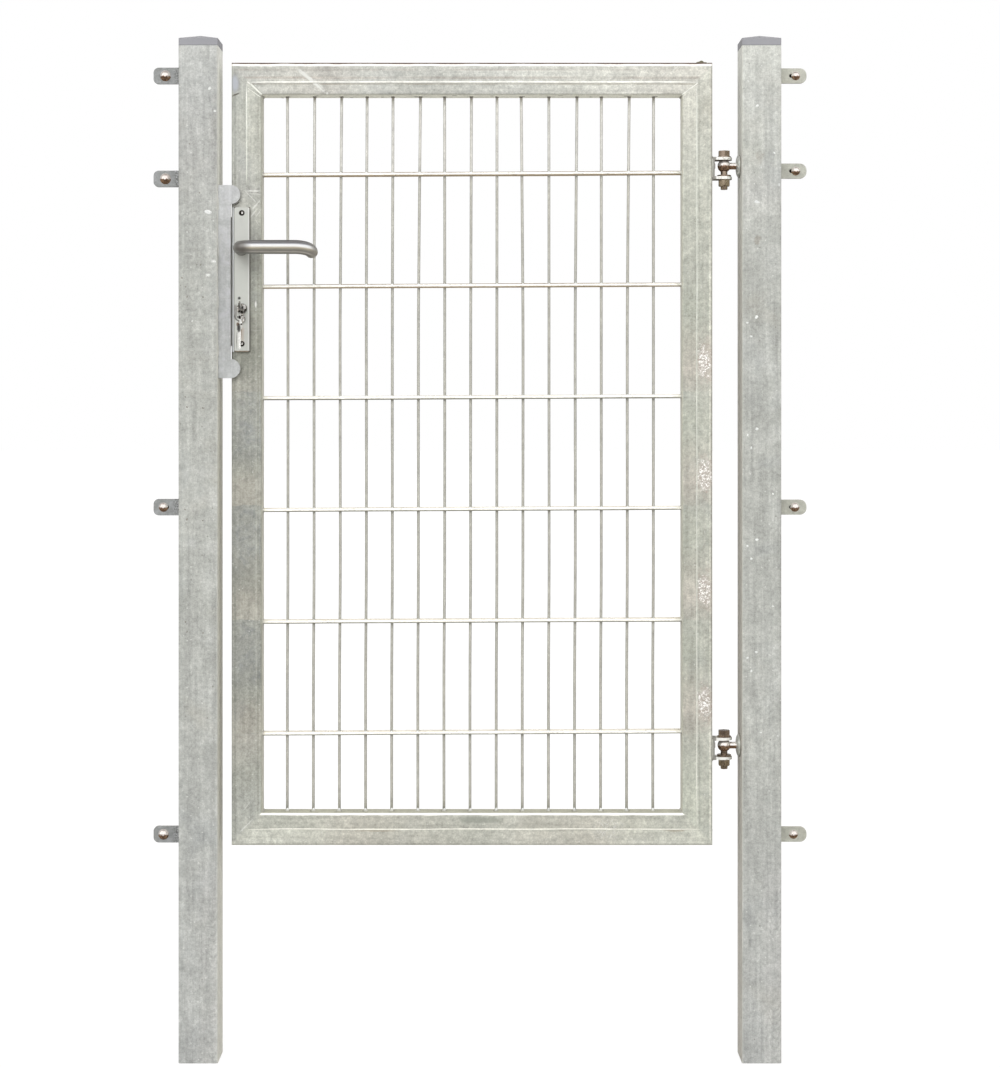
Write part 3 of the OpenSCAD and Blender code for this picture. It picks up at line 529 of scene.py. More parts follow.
def post_zinc():
    k = Look("post_zinc", 0.35, 0.48, 1.0)
    u, v, x, y, z = uv_of(k, STEP_POST)
    right = k.calc("GREATER_THAN", x, -0.5)
    lt = k.ramp(v, [(40, (204, 205, 201)), (72, (193, 194, 191)), (160, (188, 188, 184)), (216, (186, 187, 182)),
                    (264, (187, 188, 182)), (450, (192, 193, 187)), (620, (190, 191, 185)), (1062, (189, 190, 187))])
    rt = k.ramp(v, [(40, (215, 216, 209)), (100, (208, 209, 203)), (150, (197, 198, 190)), (192, (202, 202, 197)),
                    (225, (193, 194, 188)), (264, (188, 189, 183)), (620, (188, 189, 183)), (760, (196, 197, 191)), (1062, (190, 191, 188))])
    colour = k.mix(right, lt, rt)
    # low down the right half of each post is lighter
    pale = k.mix(right, k.fit(u, 196, 204), k.fit(u, 760, 768))
    pale = k.calc("MULTIPLY", k.red(pale), k.fit(v, 850, 885))
    colour = k.mix(k.calc("MULTIPLY", pale, 0.9), colour, base((202, 202, 198)))
    # lighter clouds, most of them in the right half of each post
    cloud = k.fit(k.noise(11, 4, 0.6, 0.4, k.at(loc=(7, 3, 1))), 0.5, 0.66)
    half = k.mix(right, k.fit(u, 190, 210, 0.35, 1.0), k.fit(u, 752, 772, 0.35, 1.0))
    colour = k.mix(k.calc("MULTIPLY", k.calc("MULTIPLY", cloud, k.red(half)), 0.75), colour, base((202, 203, 198)))
    # cloudy light places that come back along the left post
    for vv in (348, 466, 582, 698):
        colour = stain(k, colour, 208, vv, 9, 15, (200, 201, 196), 0.55, 0.5, STEP_POST, 26)
    for uu, vv in ((195, 512), (193, 544)):
        colour = stain(k, colour, uu, vv, 6, 7, (202, 203, 199), 0.5, 0.5, STEP_POST, 40)
    # zinc splashes on the left post beside the lock and near its top
    for uu, vv, ru, rv in ((213.5, 261, 2.8, 2.3), (208, 275, 3.0, 2.2), (209.7, 88, 2.0, 2.2), (214.6, 111, 2.0, 1.8)):
        colour = stain(k, colour, uu, vv, ru, rv, (242, 243, 239), 0.85, 0.25, STEP_POST, 200)
    # brown smudges on the right post
    colour = stain(k, colour, 758, 158, 8, 9, (170, 158, 142), 0.35, 0.6, STEP_POST, 70)
    colour = stain(k, colour, 757, 240, 4, 5, (168, 156, 140), 0.35, 0.6, STEP_POST, 70)
    # runs of zinc as fine crescents low down near the right edge of both posts
    for uc, ua, vc, va in ((212.5, 4, 935, 31), (212.5, 4, 1035, 26), (775, 6, 915, 21), (775, 6, 1028, 24)):
        box = k.calc("MULTIPLY", k.fit(k.calc("ABSOLUTE", k.calc("SUBTRACT", u, uc)), ua + 1.5, ua - 1.5),
                     k.fit(k.calc("ABSOLUTE", k.calc("SUBTRACT", v, vc)), va + 4, va - 4))
        bent = k.calc("ADD", v, k.calc("MULTIPLY", k.calc("POWER", k.calc("ABSOLUTE", k.calc("SUBTRACT", u, uc)), 2.0), 0.25))
        bent = k.calc("ADD", bent, k.fit(k.noise(20, 3), 0.3, 0.7, -4, 4))
        wave = k.calc("SINE", k.calc("MULTIPLY", bent, 0.85))
        colour = k.mix(k.calc("MULTIPLY", box, k.fit(wave, 0.55, 1.0, 0.0, 0.55)), colour, base((212, 213, 208)))
        colour = k.mix(k.calc("MULTIPLY", box, k.fit(wave, -0.6, -1.0, 0.0, 0.3)), colour, base((160, 161, 156)))
    colour, r, n = weather(k, colour, "z", patch=0.09, small=0.13, fine=0.19, streak=0.16)
    some = k.fit(k.noise(9, 3, 0.6, 0.0, k.at(loc=(2.2, 8.4, 3.9))), 0.52, 0.68)
    colour = hatch(k, colour, some, 0.22)
    colour = specks(k, colour, 0.8, 0.55, 150)
    # sides: the faces towards the passage get their own tones, lifted with painted light, darker and warmer below the
    # lock; their front corner shows a cream line, a painted highlight
    nx, ny, nz = k.facing()
    lside = k.ramp(v, [(60, (188, 188, 182)), (335, (186, 186, 180)), (350, (172, 171, 163)), (1062, (172, 171, 163))], 1.66)
    rside = k.ramp(v, [(60, (187, 187, 181)), (225, (176, 175, 168)), (245, (168, 165, 158)), (1062, (168, 165, 158))], 1.42)
    sgn = k.calc("SUBTRACT", 1.0, k.calc("MULTIPLY", right, 2.0))
    to_gap = k.calc("MULTIPLY", nx, sgn)
    inner = k.fit(to_gap, 0.8, 0.97, smooth=True)
    colour = k.mix(k.calc("MULTIPLY", inner, 0.95), colour, k.times(k.mix(right, lside, rside), k.grain()))
    line = k.calc("MULTIPLY", k.fit(to_gap, 0.18, 0.4, smooth=True), k.fit(to_gap, 0.9, 0.75, smooth=True))
    colour = k.mix(k.calc("MULTIPLY", line, 0.35), colour, base((230, 229, 218)))
    return k.done(colour, r, n)


def plain_zinc(name, stops, seed, metallic=0.4, gain=None, by="v", shine=None, warm=0.0):
    """Zinc on small plates, wires and welds: stops give its tone along the gate's height or across it."""
    k = Look(name, metallic, 0.45, seed)
    u, v, x, y, z = uv_of(k, STEP_LEAF)
    colour = k.ramp(v if by == "v" else u, stops, gain)
    colour, r, n = weather(k, colour, "z", patch=0.10, small=0.10, fine=0.10, streak=0.0)
    colour = specks(k, colour, 0.6, 0.4, 260)
    nx, ny, nz = k.facing()
    # warm brown on the faces that look up; darker on the faces that look down, a painted shade
    colour = k.mix(k.fit(nz, 0.45, 0.95, 0.0, 0.35 + warm), colour, base((176, 164, 138)))
    colour = k.mix(k.fit(nz, -0.5, -0.95, 0.0, 0.35 + warm), colour, base((120, 108, 88)))
    if shine is not None:
        r = k.calc("ADD", r, shine)
    return k, colour, r, n


def simple(name, stops, seed, **kw):
    k, colour, r, n = plain_zinc(name, stops, seed, **kw)
    return k.done(colour, r, n)


POST = post_zinc()
LEAF = leaf_zinc()


def wire_zinc():
    """Upright wires: grey-green with darker flanks, a painted shade."""
    k, colour, r, n = plain_zinc("mesh_wire_zinc", [(60, (216, 214, 207)), (165, (216, 214, 207)), (180, (198, 196, 187)), (300, (191, 189, 180)), (850, (189, 187, 177))], 6.0, metallic=0.25, shine=-0.04)
    nx, ny, nz = k.facing()
    # darker flanks: painted shade
    colour = k.mix(k.fit(k.calc("ABSOLUTE", nx), 0.55, 0.9, 0.0, 0.55), colour, base((126, 123, 110)))
    return k.done(colour, r, n)


def rod_zinc():
    """Level rods: nearly white where they face out, a painted highlight; brown above and painted shade below, the lower
    ones pale above and khaki below.
    """
    # the nearly white base is a painted highlight on the faces that look out
    k, colour, r, n = plain_zinc("mesh_rod_zinc", [(60, (253, 251, 244)), (850, (252, 249, 240))], 6.5, metallic=0.3, gain=1.0, shine=-0.15)
    nx, ny, nz = k.facing()
    low = k.fit(uv_of(k, STEP_LEAF)[1], 310, 380)
    uneven = k.fit(k.noise(14, 3, 0.6), 0.35, 0.65)
    brown = k.mix(uneven, base((128, 104, 82)), base((166, 146, 120)))
    pale = k.mix(uneven, base((214, 206, 190), 1.0), base((234, 228, 216), 1.0))
    colour = k.mix(k.fit(nz, 0.42, 0.70, 0.0, 0.9, smooth=True), colour, k.mix(low, brown, pale))
    # faces that look down: painted shade, brownish on the upper rods and khaki on the lower
    colour = k.mix(k.fit(nz, -0.36, -0.62, 0.0, 0.9, smooth=True), colour, k.mix(low, base((176, 154, 124), 1.0), base((116, 113, 94), 1.0)))
    return k.done(colour, r, n)


WIRE = wire_zinc()
ROD = rod_zinc()
WELD = simple("weld_zinc", [(60, (216, 216, 208)), (850, (212, 211, 202))], 7.0, metallic=0.4, shine=-0.08)
SEAM = simple("seam_zinc", [(60, (232, 230, 224)), (110, (222, 223, 214)), (200, (204, 205, 195)), (700, (204, 204, 194)), (850, (224, 222, 211))], 7.5,
              metallic=0.2, gain=0.95)


def stop_zinc():
    """The stop plate: cold grey with milky clouds and faint upright runs."""
    k, colour, r, n = plain_zinc("stop_plate_zinc", [(185, (206, 207, 207)), (227, (206, 207, 206)), (245, (199, 200, 199)),
                                                     (290, (192, 193, 192)), (345, (195, 196, 195)), (378, (196, 198, 197))], 8.0)
    cloud = k.noise(42, 4, 0.65, 0.6, k.at(loc=(1.3, 0.2, 4.4)))
    colour = k.mix(k.fit(cloud, 0.50, 0.68, 0.0, 0.55), colour, base((216, 216, 220)))
    colour = k.mix(k.fit(cloud, 0.46, 0.32, 0.0, 0.45), colour, base((176, 177, 176)))
    runs = k.noise(1.0, 4, 0.6, 0.0, k.at((160, 160, 9)))
    colour = k.times(colour, k.fit(runs, 0.3, 0.7, 0.92, 1.08))
    return k.done(colour, r, n)


STOP_ZINC = stop_zinc()


def lug_zinc(name, cold, edge_u, out, seed):
    """Fence lugs: mottled zinc with dark, spattered roots where they are welded on; the dark there is also painted
    shade.
    """
    k, colour, r, n = plain_zinc(name, [(60, cold), (850, cold)], seed)
    u, v, x, y, z = uv_of(k, 0.0017925)
    cloud = k.noise(90, 4, 0.65, 0.6)
    colour = k.mix(k.fit(cloud, 0.48, 0.64, 0.0, 0.5), colour, base((192, 193, 196)))
    colour = k.mix(k.fit(cloud, 0.46, 0.34, 0.0, 0.4), colour, base((148, 150, 146)))
    # roots by the post: dark specks as painted shade, white ones as weld spatter
    near = k.fit(k.calc("MULTIPLY", k.calc("SUBTRACT", u, edge_u), out), 5.0, 1.0)
    grain = k.noise(420, 4, 0.7, 0.8)
    colour = k.mix(k.calc("MULTIPLY", near, k.fit(grain, 0.50, 0.60, 0.0, 0.85)), colour, base((70, 68, 66)))
    colour = k.mix(k.calc("MULTIPLY", near, k.fit(grain, 0.42, 0.34, 0.0, 0.85)), colour, base((240, 240, 240)))
    return k.done(colour, r, n)


LUG_COLD = lug_zinc("latch_lug_zinc", (162, 164, 163), 177.5, -1.0, 9.0)
LUG_WARM = simple("hinge_lug_zinc", [(60, (201, 201, 190)), (850, (199, 199, 187))], 10.0)


def bracket_zinc():
    """Hinge brackets and flanges: faces turned to the front painted near white as a sheen, painted shade under the
    arms.
    """
    k, colour, r, n = plain_zinc("bracket_zinc", [(60, (236, 236, 230)), (850, (234, 234, 226))], 11.0, metallic=0.45, shine=-0.14)
    nx, ny, nz = k.facing()
    dirt = k.noise(160, 4, 0.65, 0.6)
    # painted sheen on the faces that look to the front, painted shade on those that look down
    colour = k.mix(k.calc("MULTIPLY", k.fit(ny, -0.6, -0.9), 0.9), colour, base((250, 249, 244), 1.0))
    colour = k.mix(k.fit(nz, -0.2, -0.7, 0.0, 0.85), colour, base((104, 88, 72)))
    colour = k.mix(k.fit(dirt, 0.56, 0.68, 0.0, 0.55), colour, base((150, 138, 122)))
    # the web between the arms is darker and duller
    x, y, z = k.xyz()
    web = k.fit(x, LEAF_X1 + 0.0085, LEAF_X1 + 0.0060)
    colour = k.mix(k.calc("MULTIPLY", web, 0.85), colour, base((140, 136, 128)))
    return k.done(colour, r, n)


BRACKET = bracket_zinc()


def flange_zinc():
    """Eye bolt flanges: domed washers of zinc with white patches of painted highlight and a dark rim."""
    k, colour, r, n = plain_zinc("flange_zinc", [(60, (206, 208, 200)), (850, (206, 208, 200))], 11.5, metallic=0.45, shine=-0.10)
    nx, ny, nz = k.facing()
    painted_glint = k.noise(200, 4, 0.65, 0.8)
    # white patches stand in for highlights: painted highlight
    colour = k.mix(k.fit(painted_glint, 0.54, 0.66, 0.0, 0.8), colour, base((252, 251, 246), 1.0))
    colour = k.mix(k.fit(k.calc("ABSOLUTE", nx), 0.25, 0.0, 0.0, 0.75), colour, base((112, 104, 92)))
    return k.done(colour, r, n)


FLANGE = flange_zinc()
MARK_LIGHT = simple("zinc_bead_light", [(40, (240, 241, 238)), (1062, (238, 239, 236))], 21.0, metallic=0.2)
MARK_DARK = simple("zinc_pit_dark", [(40, (146, 142, 134)), (1062, (144, 140, 132))], 22.0, metallic=0.2)
BEAD_BROWN = simple("zinc_drop_brown", [(40, (120, 112, 86)), (1062, (120, 112, 86))], 23.0, metallic=0.3)


def machined(name, low, high, roughness, seed, stain_=0.35, grain=900.0, black_from=None, split=None, metallic=1.0):
    """Plated or turned steel with fingerprints, slight tarnish in the hollows and fine scratches."""
    k = Look(name, metallic, roughness, seed)
    cloud = k.noise(70, 4, 0.6, 0.4)
    tarnish = k.noise(180, 5, 0.65, 0.6)
    fine = k.noise(grain, 3, 0.6)
    colour = k.mix(k.fit(cloud, 0.3, 0.7), tone(*low), tone(*high))
    colour = k.mix(k.fit(tarnish, 0.55, 0.75, 0.0, stain_), colour, tone(126, 104, 84))
    scratch = k.noise(1.0, 2, 0.5, 0.0, k.at((1500, 1500, 120), rot=(0.4, 0.7, 0.2)))
    r = k.calc("ADD", k.fit(tarnish, 0.3, 0.7, roughness - 0.05, roughness + 0.10), k.fit(scratch, 0.35, 0.65, -0.04, 0.04))
    if split is not None:
        # painted reflection: bright above and brown-gold below, as a mirror of the studio's bright wall and dark floor,
        # with painted shade round the lower rim
        nx, ny, nz = k.facing()
        at, under, rimmed = split
        tilt = k.calc("ADD", nz, k.fit(k.noise(260, 3), 0.3, 0.7, -0.12, 0.12))
        gold = k.mix(k.fit(k.noise(330, 3, 0.6, 0.5), 0.42, 0.6), tone(*under), tone(min(255, under[0] + 66), min(255, under[1] + 56), under[2] + 44))
        colour = k.mix(k.fit(tilt, at, at - 0.14, 0.0, 0.95), colour, gold)
        if rimmed:
            colour = k.mix(k.calc("MULTIPLY", k.fit(ny, -0.62, -0.30), k.fit(nz, 0.35, -0.1)), colour, tone(44, 32, 26))
    if black_from is not None:
        # faces of the washers that lie in the shade of the slots
        _, y, _ = k.xyz()
        colour = k.mix(k.fit(y, black_from + 0.0009, black_from + 0.0003, 0.0, 0.96), colour, (0.012, 0.011, 0.010, 1))
    return k.done(colour, r, k.bump(fine, 0.08, 0.00003))


DOME = machined("carriage_bolt_steel", (252, 240, 234), (255, 250, 246), 0.13, 12.0, 0.12, split=(-0.02, (112, 84, 62), True), metallic=0.8)
EYE = machined("eye_bolt_steel", (250, 240, 234), (255, 252, 248), 0.15, 12.3, 0.2, split=(0.10, (104, 76, 54), False), metallic=0.75)
STEEL = machined("bolt_steel", (142, 126, 112), (190, 172, 156), 0.22, 12.5, 0.6)
NUT = machined("nut_steel", (150, 134, 112), (186, 170, 148), 0.24, 13.0, 0.6)
LUG_NUT = machined("lug_nut_steel", (156, 142, 126), (184, 170, 152), 0.30, 13.5, 0.5, black_from=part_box("latch_lug_nuts")[0].y)


def screw_steel(screw_x, screw_z):
    """Plate screws: nearly black, with a painted highlight on one side."""
    k = Look("screw_steel", 0.9, 0.2, 14.0)
    fine = k.noise(900, 3, 0.6)
    colour = k.mix(k.fit(k.noise(500, 3), 0.35, 0.65), tone(18, 15, 14), tone(54, 46, 40))
    for cz in screw_z:
        # a painted highlight on one side of each head
        painted_glint = k.spot(screw_x + 0.0009, cz - 0.0002, 0.0020, 0.0028, 0.35, 500.0, 0.5)
        colour = k.mix(k.calc("MULTIPLY", painted_glint, 0.97), colour, (0.95, 0.94, 0.92, 1))
    return k.done(colour, k.fit(fine, 0.3, 0.7, 0.16, 0.28), k.bump(fine, 0.08, 0.00003))


def lock_marks(k, colour, node):
    """Painted shade and painted highlights where the plug, the key's shoulder and the ring meet: black, brown and white
    spots.
    """
    lo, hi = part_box(node)
    depth = lo.y if node == "lock_cylinder" else (lo.y + min(hi.y, -0.030)) / 2
    step = 0.0017925 * (3.7 + depth) / 3.7
    for u, v, ru, rv, rgb in ((241.7, 307.5, 1.5, 1.5, (26, 20, 17)), (239.2, 305.0, 1.7, 1.3, (30, 24, 21)),
                              (241.8, 311.9, 3.4, 1.1, (34, 27, 23)), (239.8, 314.6, 1.7, 1.6, (255, 255, 252)),
                              (239.0, 317.3, 1.8, 1.5, (20, 16, 14)), (238.6, 320.9, 1.9, 1.7, (255, 255, 252)),
                              (237.7, 324.2, 2.4, 1.9, (140, 112, 88)), (238.8, 328.0, 1.9, 3.6, (22, 16, 13)),
                              (243.4, 324.4, 2.2, 1.0, (52, 42, 35))):
        wide = 1.35 if rgb[0] > 100 else 1.75
        colour = stain(k, colour, u, v, ru * wide, rv * wide, rgb, 0.98, 0.15, step, 300)
    return colour


def chrome(name, node, seed, grain, dark=0.42, light=0.50):
    """Small polished lock parts: black and white noise in the colour stands in for the room's lights and darks mirrored
    on them, a painted reflection.
    """
    k = Look(name, 0.92, 0.2, seed)
    broken = k.noise(grain, 1.5, 0.5, 0.8)
    fine = k.noise(1100, 3, 0.6)
    colour = k.mix(k.fit(broken, dark, light), tone(20, 16, 14), tone(206, 198, 186))
    colour = k.mix(k.fit(broken, light + 0.02, light + 0.09), colour, tone(252, 251, 248))
    colour = lock_marks(k, colour, node)
    return k.done(colour, k.fit(fine, 0.3, 0.7, 0.15, 0.26), k.bump(fine, 0.08, 0.00003))


NICKEL = chrome("cylinder_nickel", "lock_cylinder", 15.0, 330.0, 0.40, 0.47)
KEY = chrome("key_nickel", "key", 16.0, 260.0, 0.42, 0.48)


def spare_nickel():
    k = Look("spare_key_nickel", 0.6, 0.24, 16.5)
    fine = k.noise(900, 3, 0.6)
    colour = k.mix(k.fit(k.noise(120, 3), 0.3, 0.7), tone(244, 243, 239), tone(255, 255, 252))
    colour = lock_marks(k, colour, "spare_key")
    return k.done(colour, k.fit(fine, 0.3, 0.7, 0.18, 0.30), k.bump(fine, 0.08, 0.00003))


SPARE = spare_nickel()
LOCK = machined("lock_steel", (170, 170, 168), (200, 200, 198), 0.34, 17.0, 0.15)


def satin(name, low, high, roughness, seed, brushed=None, metallic=1.0, grain=0.08, smudge=0.25):
    """Satin aluminium: fine even grain, light handling marks."""
    k = Look(name, metallic, roughness, seed)
    cloud = k.noise(24, 4, 0.6, 0.3)
    smear = k.noise(90, 4, 0.6, 0.5)
    fine = k.noise(1600, 2, 0.5)
    colour = k.mix(k.fit(cloud, 0.3, 0.7), low, high)
    colour = k.mix(k.fit(smear, 0.58, 0.75, 0.0, smudge), colour, tone(168, 165, 162))
    r = k.calc("ADD", k.fit(smear, 0.3, 0.7, roughness - 0.04, roughness + 0.05), k.fit(fine, 0.35, 0.65, -0.02, 0.02))
    n = k.bump(fine, grain, 0.00003)
    if brushed:
        hair = k.noise(1.0, 3, 0.6, 0.0, k.at(brushed))
        colour = k.mix(k.fit(hair, 0.35, 0.65, 0.0, 0.25), colour, high)
        r = k.calc("ADD", r, k.fit(hair, 0.35, 0.65, -0.05, 0.05))
        n = k.bump(hair, 0.10, 0.00004, n)
    return k, colour, r, n


def lever_satin():
    k, colour, r, n = satin("lever_aluminium", tone(240, 240, 240), tone(248, 248, 247), 0.38, 18.0, metallic=0.9, grain=0.012, smudge=0.06)
    # painted light: bands of painted highlight and painted shade by the way the grip faces (dark top, bright upper
    # middle, warm lower half, grey underside); the neck towards the plate and the tip are painted grey as shade
    x, y, z = k.xyz()
    nx, ny, nz = k.facing()
    facing_light_bands = k.ramp(nz, [(-1.0, (156, 155, 152)), (-0.88, (166, 165, 162)), (-0.71, (255, 253, 248)), (-0.57, (202, 200, 196)),
                           (-0.43, (214, 212, 202)), (-0.29, (236, 231, 212)), (-0.14, (249, 240, 220)), (0.0, (255, 255, 250)),
                           (0.14, (255, 255, 255)), (0.29, (241, 244, 246)), (0.43, (174, 173, 179)), (0.57, (150, 149, 155)),
                           (0.71, (184, 183, 188)), (0.86, (118, 117, 121)), (1.0, (112, 111, 116))], 1.0)
    colour = k.mix(0.94, colour, facing_light_bands)
    neck_shade = k.fit(x, SPINDLE.x + 0.027, SPINDLE.x + 0.007, smooth=True)
    colour = k.mix(k.calc("MULTIPLY", neck_shade, 0.93), colour, tone(150, 147, 143))
    tip = k.fit(x, GRIP[1].x - 0.018, GRIP[1].x - 0.006, smooth=True)
    colour = k.mix(k.calc("MULTIPLY", tip, 0.7), colour, tone(196, 193, 188))
    return k.done(colour, r, n)


def knob_satin():
    k, colour, r, n = satin("knob_aluminium", tone(226, 224, 221), tone(238, 236, 233), 0.30, 18.5)
    return k.done(colour, r, n)


def plate_satin(screw_x, screw_z, cyl):
    k, colour, r, n = satin("plate_aluminium", base((211, 213, 206)), base((218, 219, 213)), 0.42, 19.0, (900, 900, 14), 0.45)
    x, y, z = k.xyz()
    # painted shade in the cracks round the screws, the cylinder and the lever's collar, a dark patch below the
    # cylinder, a painted highlight along the right edge and a thin painted shade line round the rim
    for cx, cz, rad in [(screw_x, s, 0.0044) for s in screw_z] + [(cyl[0], cyl[1], 0.0085), (SPINDLE.x, SPINDLE.z, 0.0108)]:
        d = k.length(k.at((1, 0, 1), (-cx, 0, -cz), vec=k.raw))
        colour = k.mix(k.fit(d, rad + 0.0012, rad + 0.0003, 0.0, 0.92), colour, base((44, 38, 34)))
    d = k.length(k.at((1, 0, 1), (-cyl[0], 0, -(cyl[1] - 0.0185)), vec=k.raw))
    colour = k.mix(k.fit(d, 0.0068, 0.0055, 0.0, 0.7), colour, base((80, 72, 64)))
    rim = k.calc("SUBTRACT", (PLATE[1].x - PLATE[0].x) / 2, k.calc("ABSOLUTE", k.calc("SUBTRACT", x, (PLATE[0].x + PLATE[1].x) / 2)))
    colour = k.mix(k.calc("MULTIPLY", k.fit(rim, 0.0030, 0.0022), k.fit(x, (PLATE[0].x + PLATE[1].x) / 2, (PLATE[0].x + PLATE[1].x) / 2 + 0.001, 0.0, 0.8)), colour, base((246, 246, 242)))
    colour = k.mix(k.fit(rim, 0.0012, 0.0004, 0.0, 0.75), colour, base((84, 78, 70)))
    foot = k.fit(z, PLATE[0].z + 0.0024, PLATE[0].z + 0.0008, 0.0, 0.75)
    colour = k.mix(foot, colour, base((150, 124, 88)))
    # painted shadow of the cylinder and key left of the cylinder, a warm patch beside the spare key, a brown painted
    # shadow line to its right and darker painted shadow lines along its sides
    colour = stain(k, colour, 235.4, 311, 2.6, 9.5, (146, 143, 138), 0.75, 0.3, 0.0017794, 120)
    colour = stain(k, colour, 242.4, 333, 2.2, 12, (206, 190, 176), 0.5, 0.4, 0.0017794, 120)
    colour = stroke(k, colour, 241.7, 332, 8.5, 0.45, 90, 0.85, (128, 102, 82), 0.0017794)
    colour = stroke(k, colour, 236.6, 341, 9.5, 0.35, 90, 0.8, (84, 78, 72), 0.0017794)
    colour = stroke(k, colour, 240.4, 341, 9.0, 0.3, 90, 0.6, (130, 122, 112), 0.0017794)
    # small painted highlights and dark painted shade marks above and below the cylinder
    for u, v, ru, rv, rgb in ((239.3, 298.2, 2.1, 2.0, (8, 6, 5)), (239.3, 302.2, 1.2, 2.4, (252, 252, 248)),
                              (238, 317, 1.2, 1.4, (40, 34, 30)), (237.3, 321, 0.9, 1.2, (246, 246, 242)),
                              (238.6, 327.6, 2.7, 4.8, (8, 5, 4))):
        colour = stain(k, colour, u, v, ru, rv, rgb, 0.9, 0.2, 0.0017794, 300)
    return k.done(colour, r, n)


def plastic(name, low, high, seed):
    k = Look(name, 0.0, 0.48, seed)
    cloud = k.noise(30, 4, 0.6)
    leather = k.noise(700, 3, 0.6)
    dust = k.noise(14, 5, 0.7, 0.4, k.at(loc=(3, 2, 8)))
    colour = k.mix(k.fit(cloud, 0.3, 0.7), low, high)
    colour = k.mix(k.fit(dust, 0.55, 0.8, 0.0, 0.3), colour, base((184, 184, 184)))
    # dark line where the cap sits on the tube
    _, _, z = k.xyz()
    foot = LP[1].z
    colour = k.mix(k.fit(z, foot + 0.0014, foot + 0.0004, 0.0, 0.7), colour, base((92, 90, 92)))
    return k.done(colour, k.fit(dust, 0.3, 0.7, 0.42, 0.6), k.bump(leather, 0.18, 0.00008))


CAP = plastic("cap_plastic", base((147, 147, 151)), base((155, 154, 158)), 20.0)


def floor_look():
    """Pale floor, lit from within like a light table, so that it is as white as the wall behind the gate.
    Metal mirrors a darker, warmer ground instead, as in a studio with black cloth beside the set."""
    k = Look("studio_floor", 0.0, 0.9)
    a = k.noise(1.4, 4, 0.6)
    b = k.noise(240, 3, 0.6)
    pale = k.mix(k.fit(a, 0.3, 0.7), (0.110, 0.110, 0.109, 1), (0.122, 0.122, 0.121, 1))
    ground = k.mix(k.fit(a, 0.3, 0.7), (0.118, 0.106, 0.094, 1), (0.132, 0.119, 0.106, 1))
    # the far floor in front of the gate is lit again, which softens the horizon that metal mirrors
    _, fy, _ = k.xyz()
    ground = k.mix(k.fit(fy, -7.0, -26.0, 0.0, 0.85), ground, (0.70, 0.66, 0.60, 1))
    bounce = (0.60, 0.60, 0.58, 1)
    path = k.node("ShaderNodeLightPath")
    colour = k.mix(path.outputs["Is Glossy Ray"], k.mix(path.outputs["Is Camera Ray"], bounce, pale), ground)
    k.feed(k.shader.inputs["Emission Color"], (1, 1, 1, 1))
    k.feed(k.shader.inputs["Emission Strength"], k.calc("MULTIPLY", path.outputs["Is Camera Ray"], 0.85))
    return k.done(colour, k.fit(b, 0.3, 0.7, 0.85, 0.95), k.bump(b, 0.05, 0.0003))


# --------------------------------------------------------------------------
# Geometry helpers: every added piece is one joined mesh in the row frame
# --------------------------------------------------------------------------


